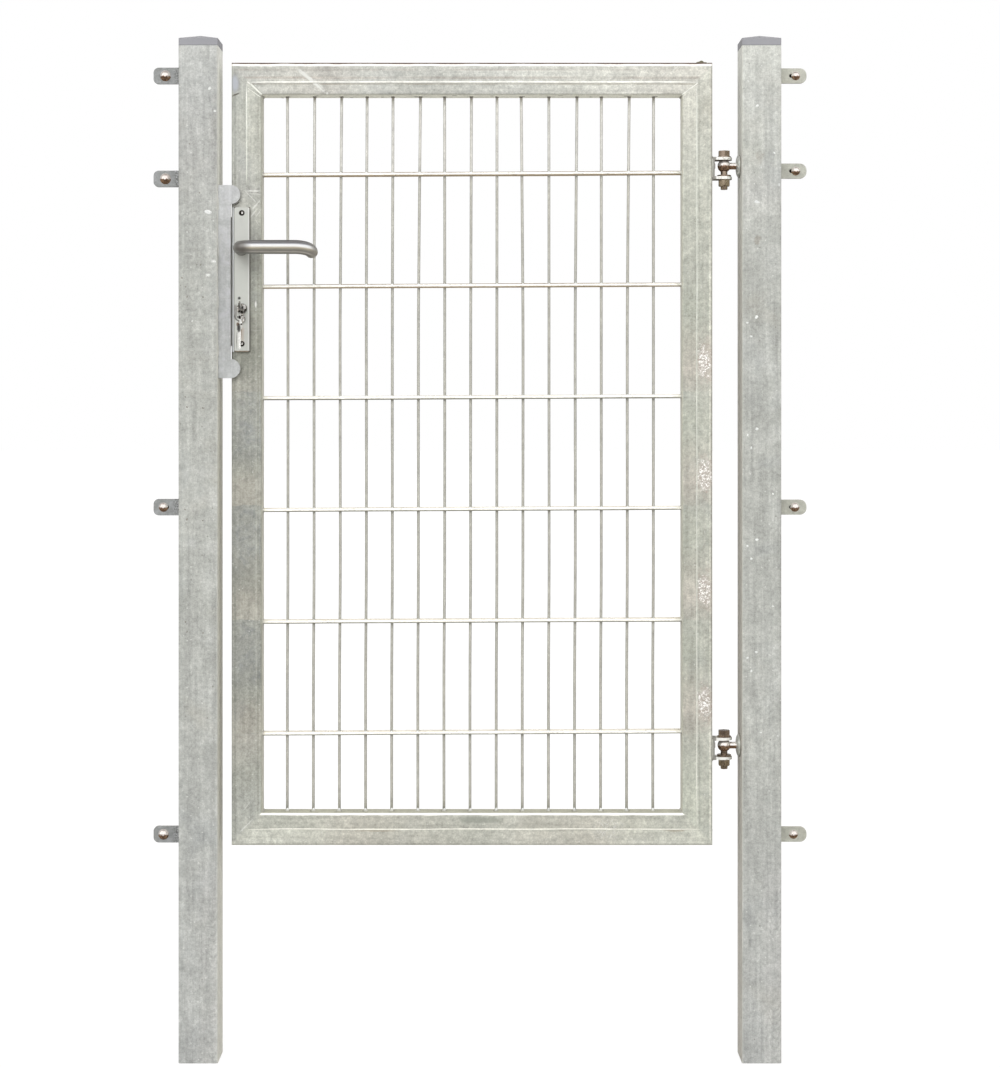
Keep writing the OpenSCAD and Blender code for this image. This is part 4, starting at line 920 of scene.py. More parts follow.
class Soup:
    """Collects simple solids in one mesh."""

    def __init__(self):
        self.v, self.f, self.mats = [], [], []

    def add(self, verts, faces, mat=0):
        base = len(self.v)
        self.v += [tuple(p) for p in verts]
        self.f += [tuple(base + i for i in q) for q in faces]
        self.mats += [mat] * len(faces)

    def tube(self, pts, radii, n=12, flat=None, mat=0, turn=0.0):
        """Round bar along pts. flat=(axis, share) presses it along one axis."""
        pts = [Vector(p) for p in pts]
        if not hasattr(radii, "__len__"):
            radii = [radii] * len(pts)
        tangents = []
        for i in range(len(pts)):
            a, b = pts[max(i - 1, 0)], pts[min(i + 1, len(pts) - 1)]
            tangents.append((b - a).normalized())
        t0 = tangents[0]
        side = t0.orthogonal().normalized()
        rings, verts = [], []
        prev = t0
        for i, (p, t) in enumerate(zip(pts, tangents)):
            if i:
                side = (prev.rotation_difference(t) @ side).normalized()
            prev = t
            up = t.cross(side).normalized()
            ring = []
            for j in range(n):
                a = 2 * math.pi * j / n + turn
                off = (side * math.cos(a) + up * math.sin(a)) * radii[i]
                if flat:
                    ax, share = flat
                    off = off - ax * off.dot(ax) * (1 - share)
                ring.append(len(verts))
                verts.append(p + off)
            rings.append(ring)
        faces = []
        for a, b in zip(rings, rings[1:]):
            for j in range(n):
                k = (j + 1) % n
                faces.append((a[j], a[k], b[k], b[j]))
        faces.append(tuple(reversed(rings[0])))
        faces.append(tuple(rings[-1]))
        self.add(verts, faces, mat)

    def ball(self, c, size, n=8, m=5, rot=None, mat=0):
        """Ellipsoid with half sizes size."""
        verts, faces = [], []
        rot = rot or Matrix.Identity(3)
        c = Vector(c)
        for i in range(1, m):
            a = math.pi * i / m
            for j in range(n):
                b = 2 * math.pi * j / n
                q = Vector((size[0] * math.sin(a) * math.cos(b), size[1] * math.sin(a) * math.sin(b), size[2] * math.cos(a)))
                verts.append(c + rot @ q)
        top = len(verts)
        verts.append(c + rot @ Vector((0, 0, size[2])))
        verts.append(c + rot @ Vector((0, 0, -size[2])))
        for i in range(m - 2):
            for j in range(n):
                k = (j + 1) % n
                faces.append((i * n + j, (i + 1) * n + j, (i + 1) * n + k, i * n + k))
        for j in range(n):
            k = (j + 1) % n
            faces.append((top, j, k))
            faces.append((top + 1, (m - 2) * n + k, (m - 2) * n + j))
        self.add(verts, faces, mat)

    def make(self, name, mats, body, smooth=True, sharp=None):
        me = bpy.data.meshes.new(name)
        me.from_pydata(self.v, [], self.f)
        for m in mats if isinstance(mats, (list, tuple)) else [mats]:
            me.materials.append(m)
        me.polygons.foreach_set("material_index", self.mats)
        me.polygons.foreach_set("use_smooth", [smooth] * len(self.f))
        me.update()
        bm = bmesh.new()
        bm.from_mesh(me)
        bmesh.ops.recalc_face_normals(bm, faces=bm.faces)
        if sharp is not None:
            for e in bm.edges:
                if len(e.link_faces) == 2 and e.calc_face_angle(0) > math.radians(sharp):
                    e.smooth = False
        bm.to_mesh(me)
        bm.free()
        o = bpy.data.objects.new(name, me)
        bpy.context.scene.collection.objects.link(o)
        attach(o, body)
        return o


def wobble(p, amount, scale=400.0, seed=0.0):
    """Small repeatable unevenness at a point."""
    q = Vector(p) * scale + Vector((seed, seed * 1.7, seed * 0.3))
    return 1 + amount * noise.noise(q)


def bead(soup, a, b, r, n=8, step=0.0022, amount=0.35, seed=0.0, flat=None, mat=0):
    """Weld bead from a to b: overlapping ripples with uneven width."""
    a, b = Vector(a), Vector(b)
    d = b - a
    count = max(3, int(d.length / step))
    pts, radii = [], []
    for i in range(count + 1):
        t = i / count
        p = a + d * t
        ripple = 1 + 0.10 * math.sin(i * 2.4 + seed)
        end = min(1.0, 0.35 + 4.0 * min(t, 1 - t))
        pts.append(p)
        radii.append(r * ripple * end * wobble(p, amount, 260, seed))
    soup.tube(pts, radii, n, flat, mat)


SC_LO, SC_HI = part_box("long_plate_screws")
SCREW_X = (SC_LO.x + SC_HI.x) / 2
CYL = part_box("cylinder_plugs")
CYL_AT = ((CYL[0].x + CYL[1].x) / 2, (CYL[0].z + CYL[1].z) / 2)


def z_ranges(node):
    """Top and bottom of each separate solid of a node that is stacked along Z."""
    zs = sorted({round(v.co.z, 4) for v in NODES[node].data.vertices})
    out, start, last = [], zs[0], zs[0]
    for z in zs[1:]:
        if z - last > 0.05:
            out.append((start, last))
            start = z
        last = z
    out.append((start, last))
    return out


SCREW_Z = [(a + b) / 2 for a, b in z_ranges("long_plate_screws")]
SCREW = screw_steel(SCREW_X, SCREW_Z)
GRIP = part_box("front_lever")
LEVER = lever_satin()
KNOB = knob_satin()
LONG_PLATE = plate_satin(SCREW_X, SCREW_Z, CYL_AT)

# --------------------------------------------------------------------------
# CAD nodes that are shown as they are: materials, soft edges
# --------------------------------------------------------------------------

FINISH = {
    "latch_post": POST, "hinge_post": POST, "latch_post_cap": CAP, "hinge_post_cap": CAP,
    "latch_post_lugs": LUG_COLD, "hinge_post_lugs": LUG_WARM,
    "latch_lug_bolts": DOME, "hinge_lug_bolts": DOME, "latch_lug_nuts": LUG_NUT, "hinge_lug_nuts": LUG_NUT,
    "stop_plate": STOP_ZINC, "upper_eye_bolt": EYE, "lower_eye_bolt": EYE,
    "upper_eye_flange": FLANGE, "lower_eye_flange": FLANGE,
    "latch_stile": LEAF, "hinge_stile": LEAF, "top_rail": LEAF, "bottom_rail": LEAF,
    "mesh_panel": WIRE, "lock_case": LOCK, "front_long_plate": LONG_PLATE, "back_long_plate": LONG_PLATE,
    "long_plate_screws": SCREW, "lock_cylinder": NICKEL, "cylinder_plugs": NICKEL,
    "key": KEY, "key_ring": LOCK, "spare_key": SPARE,
    "upper_hinge_bracket": BRACKET, "lower_hinge_bracket": BRACKET,
    "upper_hinge_bolt": STEEL, "lower_hinge_bolt": STEEL, "upper_hinge_nut": NUT, "lower_hinge_nut": NUT,
    "front_lever": LEVER, "back_knob": KNOB, "lever_spindle": LOCK,
}
for name, obj in NODES.items():
    obj.data.materials.clear()
    obj.data.materials.append(FINISH[name])

SOFT_EDGES = {
    "latch_post_lugs": 0.7, "hinge_post_lugs": 0.7, "stop_plate": 0.6,
    "upper_hinge_bracket": 0.7, "lower_hinge_bracket": 0.7,
    "latch_lug_nuts": 0.35, "hinge_lug_nuts": 0.3, "upper_hinge_nut": 0.5, "lower_hinge_nut": 0.5,
    "upper_hinge_bolt": 0.45, "lower_hinge_bolt": 0.45,
    "key": 0.3, "spare_key": 0.3, "lock_cylinder": 0.3, "lock_case": 0.3, "back_knob": 0.4,
    "latch_post_cap": 1.0, "hinge_post_cap": 1.0,
}
for name, width in SOFT_EDGES.items():
    obj = NODES[name]
    me = obj.data
    if "custom_normal" in me.attributes:
        me.attributes.remove(me.attributes["custom_normal"])
    me.polygons.foreach_set("use_smooth", [True] * len(me.polygons))
    weld = obj.modifiers.new("Weld", "WELD")
    weld.merge_threshold = 0.00001
    bevel = obj.modifiers.new("Bevel", "BEVEL")
    bevel.width = width * 0.001
    bevel.segments = 2
    bevel.limit_method = "ANGLE"
    bevel.angle_limit = math.radians(38)
    bevel.harden_normals = True
    bevel.use_clamp_overlap = True

# --------------------------------------------------------------------------
# Mesh panel: round wires, slightly bent at the top, level rods, weld spots
# --------------------------------------------------------------------------

random.seed(7)
WIRE_N, WIRE_PITCH, WIRE_R = 15, 0.0468, 0.0025
ROD_N, ROD_PITCH, ROD_R, ROD_Z = 6, 0.200, 0.0035, 0.5832
ROD_Y = MESH[1].y - ROD_R
MESH_X = (IN_X0 + IN_X1) / 2 - 0.0032
# how far each wire leans towards the hinge at the top rail, in millimetres
LEAN = [-0.7, 1.2, 2.6, 1.8, 1.0, 3.6, 0.2, 1.3, 0.5, -3.0, -0.4, 3.3, 0.2, 3.2, 0.0]


def wire_x(i, z):
    """Where wire i runs at height z."""
    t = max(0.0, (z - 1.30) / (IN_Z1 - 1.30))
    low = max(0.0, min(1.0, (0.90 - z) / 0.25))
    x = MESH_X + (i - (WIRE_N - 1) / 2) * WIRE_PITCH + mm(LEAN[i]) * t ** 1.2
    x += 0.0007 - 0.0012 * low * low * (3 - 2 * low)
    return x + 0.0004 * noise.noise(Vector((i * 3.7, z * 2.2, 0.5)))


def rod_z(k, x):
    """Height of rod pair k at x: the panel was set in very slightly out of square."""
    return ROD_Z + k * ROD_PITCH + 0.0052 * (x + 0.5118)


mesh = Soup()
for i in range(WIRE_N):
    zs = [IN_Z0 + (IN_Z1 - IN_Z0) * t / 48 for t in range(49)]
    mesh.tube([(wire_x(i, z), 0.0003 * noise.noise(Vector((i, z * 3, 4))), z) for z in zs], WIRE_R, 14)
for k in range(ROD_N):
    for s in (-1, 1):
        xs = [IN_X0 + (IN_X1 - IN_X0) * t / 40 for t in range(41)]
        mesh.tube([(x, s * ROD_Y, rod_z(k, x) + 0.0004 * noise.noise(Vector((x * 4, k, s)))) for x in xs], ROD_R, 18, mat=1)
wires = mesh.make("mesh_wires", [WIRE, ROD], "leaf")
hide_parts("mesh_panel")

spots = Soup()
for k in range(ROD_N):
    for i in range(WIRE_N):
        x = wire_x(i, ROD_Z + k * ROD_PITCH)
        z = rod_z(k, x)
        for s in (-1, 1):
            a, b = random.uniform(0.85, 1.15), random.uniform(0.85, 1.15)
            spots.ball((x, s * 0.0024, z + random.uniform(-3, 3) * 1e-4), (0.0034 * a, 0.0017, 0.0040 * b), 10, 6)
            # a pale splash where wire and rod are welded, and a drop of zinc hanging under the crossing
            spots.ball((x, s * (ROD_Y + 0.0020), z + 0.0025), (0.0021 * a, 0.0016, 0.0016), 10, 6, mat=2)
            if random.random() < 0.55:
                spots.ball((x + random.uniform(-4, 4) * 1e-4, s * 0.0046, z - 0.0032), (0.0014, 0.0014, 0.0017), 8, 5)
for k in range(ROD_N):
    for s in (-1, 1):
        for x in (IN_X0, IN_X1):
            spots.ball((x, s * ROD_Y, rod_z(k, x)), (0.0022, 0.0046, 0.0046), 10, 6)
for i in range(WIRE_N):
    x = wire_x(i, IN_Z0)
    spots.ball((x, -0.0006, IN_Z0 + 0.0004), (0.0042 * random.uniform(0.9, 1.15), 0.0044, 0.0032), 12, 8)
    spots.ball((x + random.uniform(-0.0006, 0.0010), -0.0030, IN_Z0 + 0.0034), (0.0023, 0.0018, 0.0025 * random.uniform(0.9, 1.2)), 12, 8, mat=2)
    if random.random() < 0.6:
        spots.ball((x + random.choice((-1, 1)) * 0.0042, -0.0030, IN_Z0 + 0.0003), (0.0015, 0.0015, 0.0010), 8, 5, mat=1)
    x = wire_x(i, IN_Z1)
    spots.ball((x, 0, IN_Z1), (0.0034, 0.0036, 0.0042), 12, 8, mat=1)
spots.make("mesh_weld_spots", [WELD, MARK_DARK, MARK_LIGHT], "leaf")

# --------------------------------------------------------------------------
# Leaf frame: raised seam round the middle of each face, mitre welds, drips
# --------------------------------------------------------------------------

seams = Soup()
SEAM_X0, SEAM_X1 = (LEAF_X0 + IN_X0) / 2, (LEAF_X1 + IN_X1) / 2
SEAM_Z0, SEAM_Z1 = (LEAF_Z0 + IN_Z0) / 2, (LEAF_Z1 + IN_Z1) / 2
Y_AXIS = Vector((0, 1, 0))


def ridge(a, b, y, r=0.0010, share=0.55, seed=0.0, rough_end=True, stray=0.0007, every=0.012):
    a, b = Vector((a[0], y, a[1])), Vector((b[0], y, b[1]))
    count = max(8, int((b - a).length / every))
    pts, radii = [], []
    for i in range(count + 1):
        t = i / count
        p = a.lerp(b, t)
        side = (b - a).normalized().cross(Y_AXIS)
        p = p + side * stray * noise.noise(p * 9 + Vector((seed, 0, 0)))
        end = min(1.0, 0.3 + 12 * min(t, 1 - t)) if rough_end else 1.0
        pts.append(p)
        radii.append(r * end * wobble(p, 0.3, 60, seed))
    seams.tube(pts, radii, 10, (Y_AXIS, share))


_, TOP_SEAM = px(0, 82.2)
_, LOW_SEAM = px(0, 829.2)
STILE_TOP = px(0, 86)[1], px(0, 185)[1]
for s in (-1, 1):
    y = s * LEAF_Y
    ridge((px(248, 0)[0], TOP_SEAM), (px(698, 0)[0], TOP_SEAM), y, 0.0021, 0.5, 1, stray=0.0005)
    ridge((px(248, 0)[0], LOW_SEAM), (px(700, 0)[0], LOW_SEAM), y, 0.00140, 0.42, 2, stray=0.0012)
    ridge((SEAM_X0, STILE_TOP[1]), (SEAM_X0, STILE_TOP[0]), y, 0.0010, 0.45, 3)
    ridge((SEAM_X1 - 0.0010, SEAM_Z0), (SEAM_X1 - 0.0010, SEAM_Z1), y, 0.0010, 0.16, 4)
    # ragged weld line across the two upper mitres
    ridge((IN_X0, IN_Z1), px(247, 82), y, 0.0015, 0.6, 11, False, 0.0022, 0.003)
    ridge((IN_X0 - 0.002, IN_Z1 - 0.003), px(248, 88), y, 0.0008, 0.6, 12, False, 0.0022, 0.003)
    ridge((IN_X0 - 0.001, IN_Z1 + 0.003), px(251, 83), y, 0.0006, 0.6, 14, False, 0.0022, 0.003)
    ridge((IN_X1, IN_Z1), px(698, 83), y, 0.0009, 0.5, 13, False, 0.0012, 0.003)
seams.make("frame_seams", SEAM, "leaf")

drips = Soup()
# inner corner welds of the opening
for x in (IN_X0, IN_X1):
    for z in (IN_Z0, IN_Z1):
        bead(drips, (x, -LEAF_Y + 0.003, z), (x, LEAF_Y - 0.003, z), 0.0026, 10, seed=x * 10 + z)
# zinc drops left by dipping: two on the top rail, one low on the hinge side
tx, tz = px(702, 61.5)
drips.ball((tx, -0.010, LEAF_Z1 + 0.0008), (0.0046, 0.0050, 0.0042), 14, 9, mat=1)
drips.ball((tx - 0.005, -0.011, LEAF_Z1 + 0.0002), (0.0050, 0.0036, 0.0026), 12, 7, mat=1)
drips.ball((tx + 0.006, -0.011, LEAF_Z1), (0.0050, 0.0036, 0.0020), 12, 7, mat=1)
tx, tz = px(238, 64)
drips.ball((tx, -0.006, LEAF_Z1), (0.0065, 0.0045, 0.0018), 14, 9)
tx, tz = px(713, 834)
drips.ball((LEAF_X1, -0.002, tz + 0.003), (0.0018, 0.0040, 0.0060), 12, 9, mat=2)
drips.ball((LEAF_X1, -0.004, tz - 0.005), (0.0013, 0.0030, 0.0042), 12, 9, mat=2)
# thin sags along the lower edges of the rails
for i in range(26):
    x = LEAF_X0 + 0.03 + (LEAF_X1 - LEAF_X0 - 0.06) * (i + random.uniform(-0.3, 0.3)) / 26
    z = LEAF_Z0 if i % 2 else IN_Z1
    if z == IN_Z1 and not IN_X0 + 0.01 < x < IN_X1 - 0.01:
        continue
    drips.ball((x, random.uniform(-0.015, 0.015), z), (random.uniform(0.002, 0.006), 0.0026, random.uniform(0.0004, 0.0009)), 10, 6)
drips.make("frame_zinc_drips", [WELD, BEAD_BROWN, MARK_DARK], "leaf")

# --------------------------------------------------------------------------
# Small zinc beads and pits on the posts' faces
# --------------------------------------------------------------------------

dabs = Soup()


def dab(u, v, ru, rv, mat=0):
    """A ragged flat bead on the posts' front faces, from a few small ones."""
    X, Z = px(u, v, STEP_POST)
    for _ in range(3):
        a, b = random.uniform(-0.45, 0.45), random.uniform(-0.45, 0.45)
        c, d = random.uniform(0.45, 0.75), random.uniform(0.45, 0.75)
        dabs.ball((X + a * ru * STEP_POST, LP[0].y, Z + b * rv * STEP_POST),
                  (c * ru * STEP_POST, 0.00035 if mat == 0 else 0.00012, d * rv * STEP_POST), 10, 6, mat=mat)


for u, v, ru, rv in ((757, 106, 2, 1.5), (757, 202, 2.6, 1.6), (748, 81, 1, 1), (774.5, 153, 1.2, 1.2), (779, 185, 1, 2),
                     (761, 167, 1, 1), (209, 89, 1.2, 1), (215, 111, 1, 1), (209, 212, 4.4, 2.8), (215, 262, 1.2, 1),
                     (207.5, 275, 1, 1), (192, 321, 1, 1.2), (773, 494, 1.2, 1.2), (773, 606, 1.2, 1.2), (761, 733, 1.2, 1),
                     (778, 736, 1, 1)):
    dab(u, v, ru, rv)
for m in range(4):
    for u, v, ru, rv in ((757, 317, 2.0, 1.8), (747.5, 323, 1.2, 1.2), (751.5, 336, 1.4, 1.6)):
        dab(u, v + 112 * m - (1 if m > 1 else 0), ru, rv)
for u, v, ru, rv in ((182, 278, 1.3, 1.1), (185.5, 287, 1, 1), (187, 297, 1.1, 1.1), (203, 297, 1, 1), (200.5, 265, 1, 1),
                     (190, 144, 1, 1), (200, 193, 1, 1)):
    dab(u, v, ru, rv, 1)
for m in range(3):
    for u, v, ru, rv in ((185.5, 397, 1.2, 1), (187, 407, 1, 1.2), (203, 408, 1, 1)):
        dab(u, v + 112.5 * m, ru, rv, 1)
# the same kind of beads and pits on the faces that the front view doesn't show
for lo, hi in (LP, HP):
    for _ in range(46):
        z = random.uniform(0.04, hi.z - 0.03)
        t = random.uniform(0.12, 0.88)
        size = random.uniform(0.0008, 0.0022)
        mat = 0 if random.random() < 0.7 else 1
        thick = 0.00035 if mat == 0 else 0.00012
        face = random.choice(("back", "left", "right"))
        if face == "back":
            dabs.ball((lo.x + (hi.x - lo.x) * t, hi.y, z), (size, thick, size * random.uniform(0.7, 1.4)), 10, 6, mat=mat)
        else:
            X = lo.x if face == "left" else hi.x
            dabs.ball((X, lo.y + (hi.y - lo.y) * t, z), (thick, size, size * random.uniform(0.7, 1.4)), 10, 6, mat=mat)
dabs.make("post_zinc_beads", [MARK_LIGHT, MARK_DARK], "posts")

# --------------------------------------------------------------------------
# Welds of the lugs, the stop plate and the hinge brackets
# --------------------------------------------------------------------------

post_welds = Soup()
for node, x in (("latch_post_lugs", LP[0].x), ("hinge_post_lugs", HP[1].x)):
    for za, zb in z_ranges(node):
        for s in (-1, 1):
            bead(post_welds, (x, s * 0.0032, za + 0.001), (x, s * 0.0032, zb - 0.001), 0.0023, 9, seed=za * 20 + s, amount=0.6)
        for z in (za, zb):
            bead(post_welds, (x, -0.002, z), (x, 0.002, z), 0.0019, 8, step=0.001, seed=z * 9)
        # spatter beside the weld
        for _ in range(7):
            post_welds.ball((x + random.uniform(-0.001, 0.001), random.uniform(-0.0052, -0.0030), random.uniform(za, zb)),
                            [random.uniform(0.0007, 0.0014)] * 3, 8, 5, mat=random.choice((0, 1)))
ya, yb = STOP[0].y, STOP[1].y
for i in range(4):
    z = STOP[0].z + 0.030 + i * 0.087
    bead(post_welds, (LP[1].x, yb + 0.0006, z), (LP[1].x, yb + 0.0006, z + 0.034), 0.0028, 10, seed=i * 3.1)
    bead(post_welds, (LP[1].x, ya + 0.0002, z + 0.008), (LP[1].x, ya + 0.0002, z + 0.03), 0.0012, 8, seed=i * 5.3)
post_welds.make("post_welds", [WELD, MARK_DARK], "posts")

leaf_welds = Soup()
for node in ("upper_hinge_bracket", "lower_hinge_bracket"):
    lo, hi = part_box(node)
    for s in (lo.y, hi.y):
        bead(leaf_welds, (LEAF_X1 + 0.0004, s, lo.z + 0.002), (LEAF_X1 + 0.0004, s, hi.z - 0.002), 0.0019, 9, seed=s * 100)
    for z in (lo.z, hi.z):
        bead(leaf_welds, (LEAF_X1 + 0.0004, lo.y, z), (LEAF_X1 + 0.0004, hi.y, z), 0.0021, 9, seed=z * 7)
leaf_welds.make("hinge_bracket_welds", WELD, "leaf")

# --------------------------------------------------------------------------
# Threads on the free ends of the bolts
# --------------------------------------------------------------------------


def thread(soup, c, axis, r, pitch, length, ridge_r=None, per_turn=18):
    """Helical ridge round an axis, from c along axis."""
    axis = Vector(axis).normalized()
    side = axis.orthogonal().normalized()
    up = axis.cross(side)
    turns = length / pitch
    count = int(turns * per_turn)
    ridge_r = ridge_r or pitch * 0.36
    pts, radii = [], []
    for i in range(count + 1):
        a = 2 * math.pi * i / per_turn
        pts.append(Vector(c) + axis * (pitch * i / per_turn) + (side * math.cos(a) + up * math.sin(a)) * (r - ridge_r * 0.25))
        radii.append(ridge_r * min(1.0, 0.25 + i / per_turn, 0.25 + (count - i) / per_turn))
    soup.tube(pts, radii, 6)
def bolt_centres(node):
    """Centre in X and Z of each bolt of a node whose bolts are stacked along Z."""
    out = []
    for za, zb in z_ranges(node):
        vs = [v.co for v in NODES[node].data.vertices if za - 1e-4 <= v.co.z <= zb + 1e-4]
        xs = [v.x for v in vs]
        out.append(((min(xs) + max(xs)) / 2, (za + zb) / 2, max(v.y for v in vs)))
    return out


studs = Soup()
for node, r, pitch, nut_y in (("latch_lug_bolts", 0.0040, 0.00125, 0.0108), ("hinge_lug_bolts", 0.0030, 0.0010, 0.0093)):
    for x, z, y1 in bolt_centres(node):
        thread(studs, (x, nut_y, z), (0, 1, 0), r, pitch, y1 - 0.0006 - nut_y)
studs.make("lug_stud_threads", NUT, "posts")

pins = Soup()
for node, nut in (("upper_hinge_bolt", "upper_hinge_nut"), ("lower_hinge_bolt", "lower_hinge_nut")):
    lo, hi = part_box(node)
    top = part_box(nut)[0].z
    thread(pins, (HINGE_AXIS.x, 0, lo.z + 0.0006), (0, 0, 1), 0.0060, 0.00175, top - lo.z - 0.0006)
pins.make("hinge_bolt_threads", NUT, "leaf")

# --------------------------------------------------------------------------
# Screws of the long plates: raised heads with a cross recess
# --------------------------------------------------------------------------


def lathe(soup, c, axis, profile, n=40, mat=0):
    """Turned solid: profile is (radius, distance along axis) from one end to the other."""
    axis = Vector(axis).normalized()
    side = axis.orthogonal().normalized()
    up = axis.cross(side)
    verts, faces, rings = [], [], []
    for r, t in profile:
        ring = []
        if r < 1e-6:
            ring = [len(verts)] * n
            verts.append(Vector(c) + axis * t)
        else:
            for j in range(n):
                a = 2 * math.pi * j / n
                ring.append(len(verts))
                verts.append(Vector(c) + axis * t + (side * math.cos(a) + up * math.sin(a)) * r)
        rings.append(ring)
    for a, b in zip(rings, rings[1:]):
        for j in range(n):
            k = (j + 1) % n
            q = []
            for v in (a[j], a[k], b[k], b[j]):
                if v not in q:
                    q.append(v)
            if len(q) > 2:
                faces.append(tuple(q))
    soup.add(verts, faces, mat)


screw = Soup()
for z in SCREW_Z:
    for s in (-1, 1):
        # raised head seen from outside, measured outwards from the plate's face
        lathe(screw, (SCREW_X, s * PLATE[0].y * -1, z), (0, s, 0), [
            (0.0, -0.012), (0.0024, -0.012), (0.0024, -0.0004), (0.0044, -0.0001), (0.0044, 0.0005),
            (0.0040, 0.0010), (0.0030, 0.00142), (0.0018, 0.00158), (0.0, 0.0016),
        ], 36)
screws = screw.make("plate_screws", SCREW, "leaf", sharp=50)
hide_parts("long_plate_screws")
cut = Soup()
for z in SCREW_Z:
    for s in (-1, 1):
        for a in (40, 130):
            c, d = math.cos(math.radians(a)), math.sin(math.radians(a))
            y0, y1 = s * (LEAF_Y + 0.0075), s * (LEAF_Y + 0.0120)
            u, v = 0.0022, 0.00045
            quad = [(c * i * u - d * j * v, d * i * u + c * j * v) for i, j in ((-1, -1), (1, -1), (1, 1), (-1, 1))]
            vs = [(SCREW_X + p, y0, z + q) for p, q in quad] + [(SCREW_X + p, y1, z + q) for p, q in quad]
            cut.add(vs, [(0, 1, 2, 3), (7, 6, 5, 4), (0, 4, 5, 1), (1, 5, 6, 2), (2, 6, 7, 3), (3, 7, 4, 0)])
cutter = cut.make("screw_recess_cutter", SCREW, "leaf", smooth=False)
boolean = screws.modifiers.new("Recess", "BOOLEAN")
boolean.operation = "DIFFERENCE"
boolean.solver = "EXACT"
boolean.use_self = True
boolean.object = cutter
bpy.context.view_layer.update()
cutmesh = bpy.data.meshes.new_from_object(screws.evaluated_get(bpy.context.evaluated_depsgraph_get()))
screws.modifiers.clear()
screws.data = cutmesh
bpy.data.objects.remove(cutter)

# --------------------------------------------------------------------------
# Lever: one smooth bent bar
# --------------------------------------------------------------------------

LEVER_R = 0.0123
REACH = -GRIP[0].y - LEVER_R - 0.0001
NECK_Y = -PLATE[0].y + 0.0006


def lever_path():
    """Points and radii of the lever's bar, from the plate to its tip."""
    bend, out, back, tilt = 0.020, 0.030, 0.014, math.radians(35)
    x0, z0 = SPINDLE.x, SPINDLE.z
    gx1 = GRIP[1].x - out - LEVER_R - 0.0001
    pts, radii = [], []

    def put(x, y, z, r):
        pts.append(Vector((x, y, z)))
        radii.append(r)

    for i in range(5):
        t = i / 4
        put(x0, -NECK_Y - (REACH - bend - NECK_Y) * t, z0, 0.0112 + 0.0006 * t)
    for i in range(1, 17):
        a = math.pi / 2 * i / 16
        put(x0 + bend * (1 - math.cos(a)), -(REACH - bend) - bend * math.sin(a), z0, 0.0118 + 0.0003 * i / 16)
    for i in range(1, 19):
        t = i / 18
        put(x0 + bend + (gx1 - x0 - bend) * t, -REACH, z0, min(LEVER_R, 0.0121 + 0.0010 * t))
    for i in range(1, 23):
        a = math.pi / 2 * i / 22
        b = back * (1 - math.cos(a))
        put(gx1 + out * math.sin(a), -REACH + b * math.cos(tilt), z0 - b * math.sin(tilt), LEVER_R - 0.0011 * (i / 22) ** 2)
    end = pts[-1]
    d = Vector((0, math.cos(tilt), -math.sin(tilt)))
    r = radii[-1]
    for i in range(1, 10):
        a = math.pi / 2 * i / 9
        put(*(end + d * (0.0010 + 0.0062 * math.sin(a))), r - 0.0062 * (1 - math.cos(a)))
    return pts, radii


bar = Soup()
pts, radii = lever_path()
bar.tube(pts, radii, 48)
# collar that turns in the long plate
lathe(bar, (SPINDLE.x, 0, SPINDLE.z), (0, -1, 0), [
    (0.0, LEAF_Y + 0.0006), (0.0078, LEAF_Y + 0.0006), (0.0078, NECK_Y + 0.0002), (0.0, NECK_Y + 0.0002)], 40)
o = bar.make("front_lever_bar", LEVER, "lever", sharp=40)
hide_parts("front_lever")

# --------------------------------------------------------------------------
# Forend screws on the lock's strip
# --------------------------------------------------------------------------

strip = Soup()
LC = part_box("lock_case")
for z in (LC[0].z + 0.009, LC[1].z - 0.009):
    lathe(strip, (LC[0].x, 0, z), (1, 0, 0), [(0.0, -0.0005), (0.0022, -0.0005), (0.0034, -0.0001), (0.0034, 0.0015), (0.0, 0.0015)], 28)
strip.make("lock_strip_screws", SCREW, "leaf", sharp=40)

# --------------------------------------------------------------------------
# Studio: pale floor, soft light, camera at the photograph's place
# --------------------------------------------------------------------------

me = bpy.data.meshes.new("studio_floor")
R = 60.0
me.from_pydata([(-R, -R, 0), (R, -R, 0), (R, R, 0), (-R, R, 0)], [], [(0, 1, 2, 3)])
floor = bpy.data.objects.new("studio_floor", me)
bpy.context.scene.collection.objects.link(floor)
me.materials.append(floor_look())


def sun(name, azimuth, elevation, strength, angle, colour=(1, 1, 1)):
    """Broad soft light from that side. Azimuth 0 is the viewer's side, 90 the right.
    It lights matt surfaces only: what metal mirrors is the bright band of the studio's walls."""
    data = bpy.data.lights.new(name, "SUN")
    data.energy = strength
    data.angle = math.radians(angle)
    data.color = colour
    o = bpy.data.objects.new(name, data)
    bpy.context.scene.collection.objects.link(o)
    a, e = math.radians(azimuth), math.radians(elevation)
    towards = Vector((math.sin(a) * math.cos(e), -math.cos(a) * math.cos(e), math.sin(e)))
    o.rotation_euler = towards.to_track_quat("Z", "Y").to_euler()
    o.location = towards * 5
    o.visible_glossy = False


sun("key", -10, 36, 2.45, 40, (0.99, 1.0, 1.015))
sun("side_left", -78, 20, 1.15, 50)
sun("side_right", 78, 20, 1.35, 50)
sun("back", 168, 40, 1.7, 50)

world = bpy.data.worlds.new("studio")
bpy.context.scene.world = world
world.use_nodes = True
wt = world.node_tree
wt.nodes.clear()


def w_node(kind, **props):
    n = wt.nodes.new(kind)
    for k_, v_ in props.items():
        setattr(n, k_, v_)
    return n


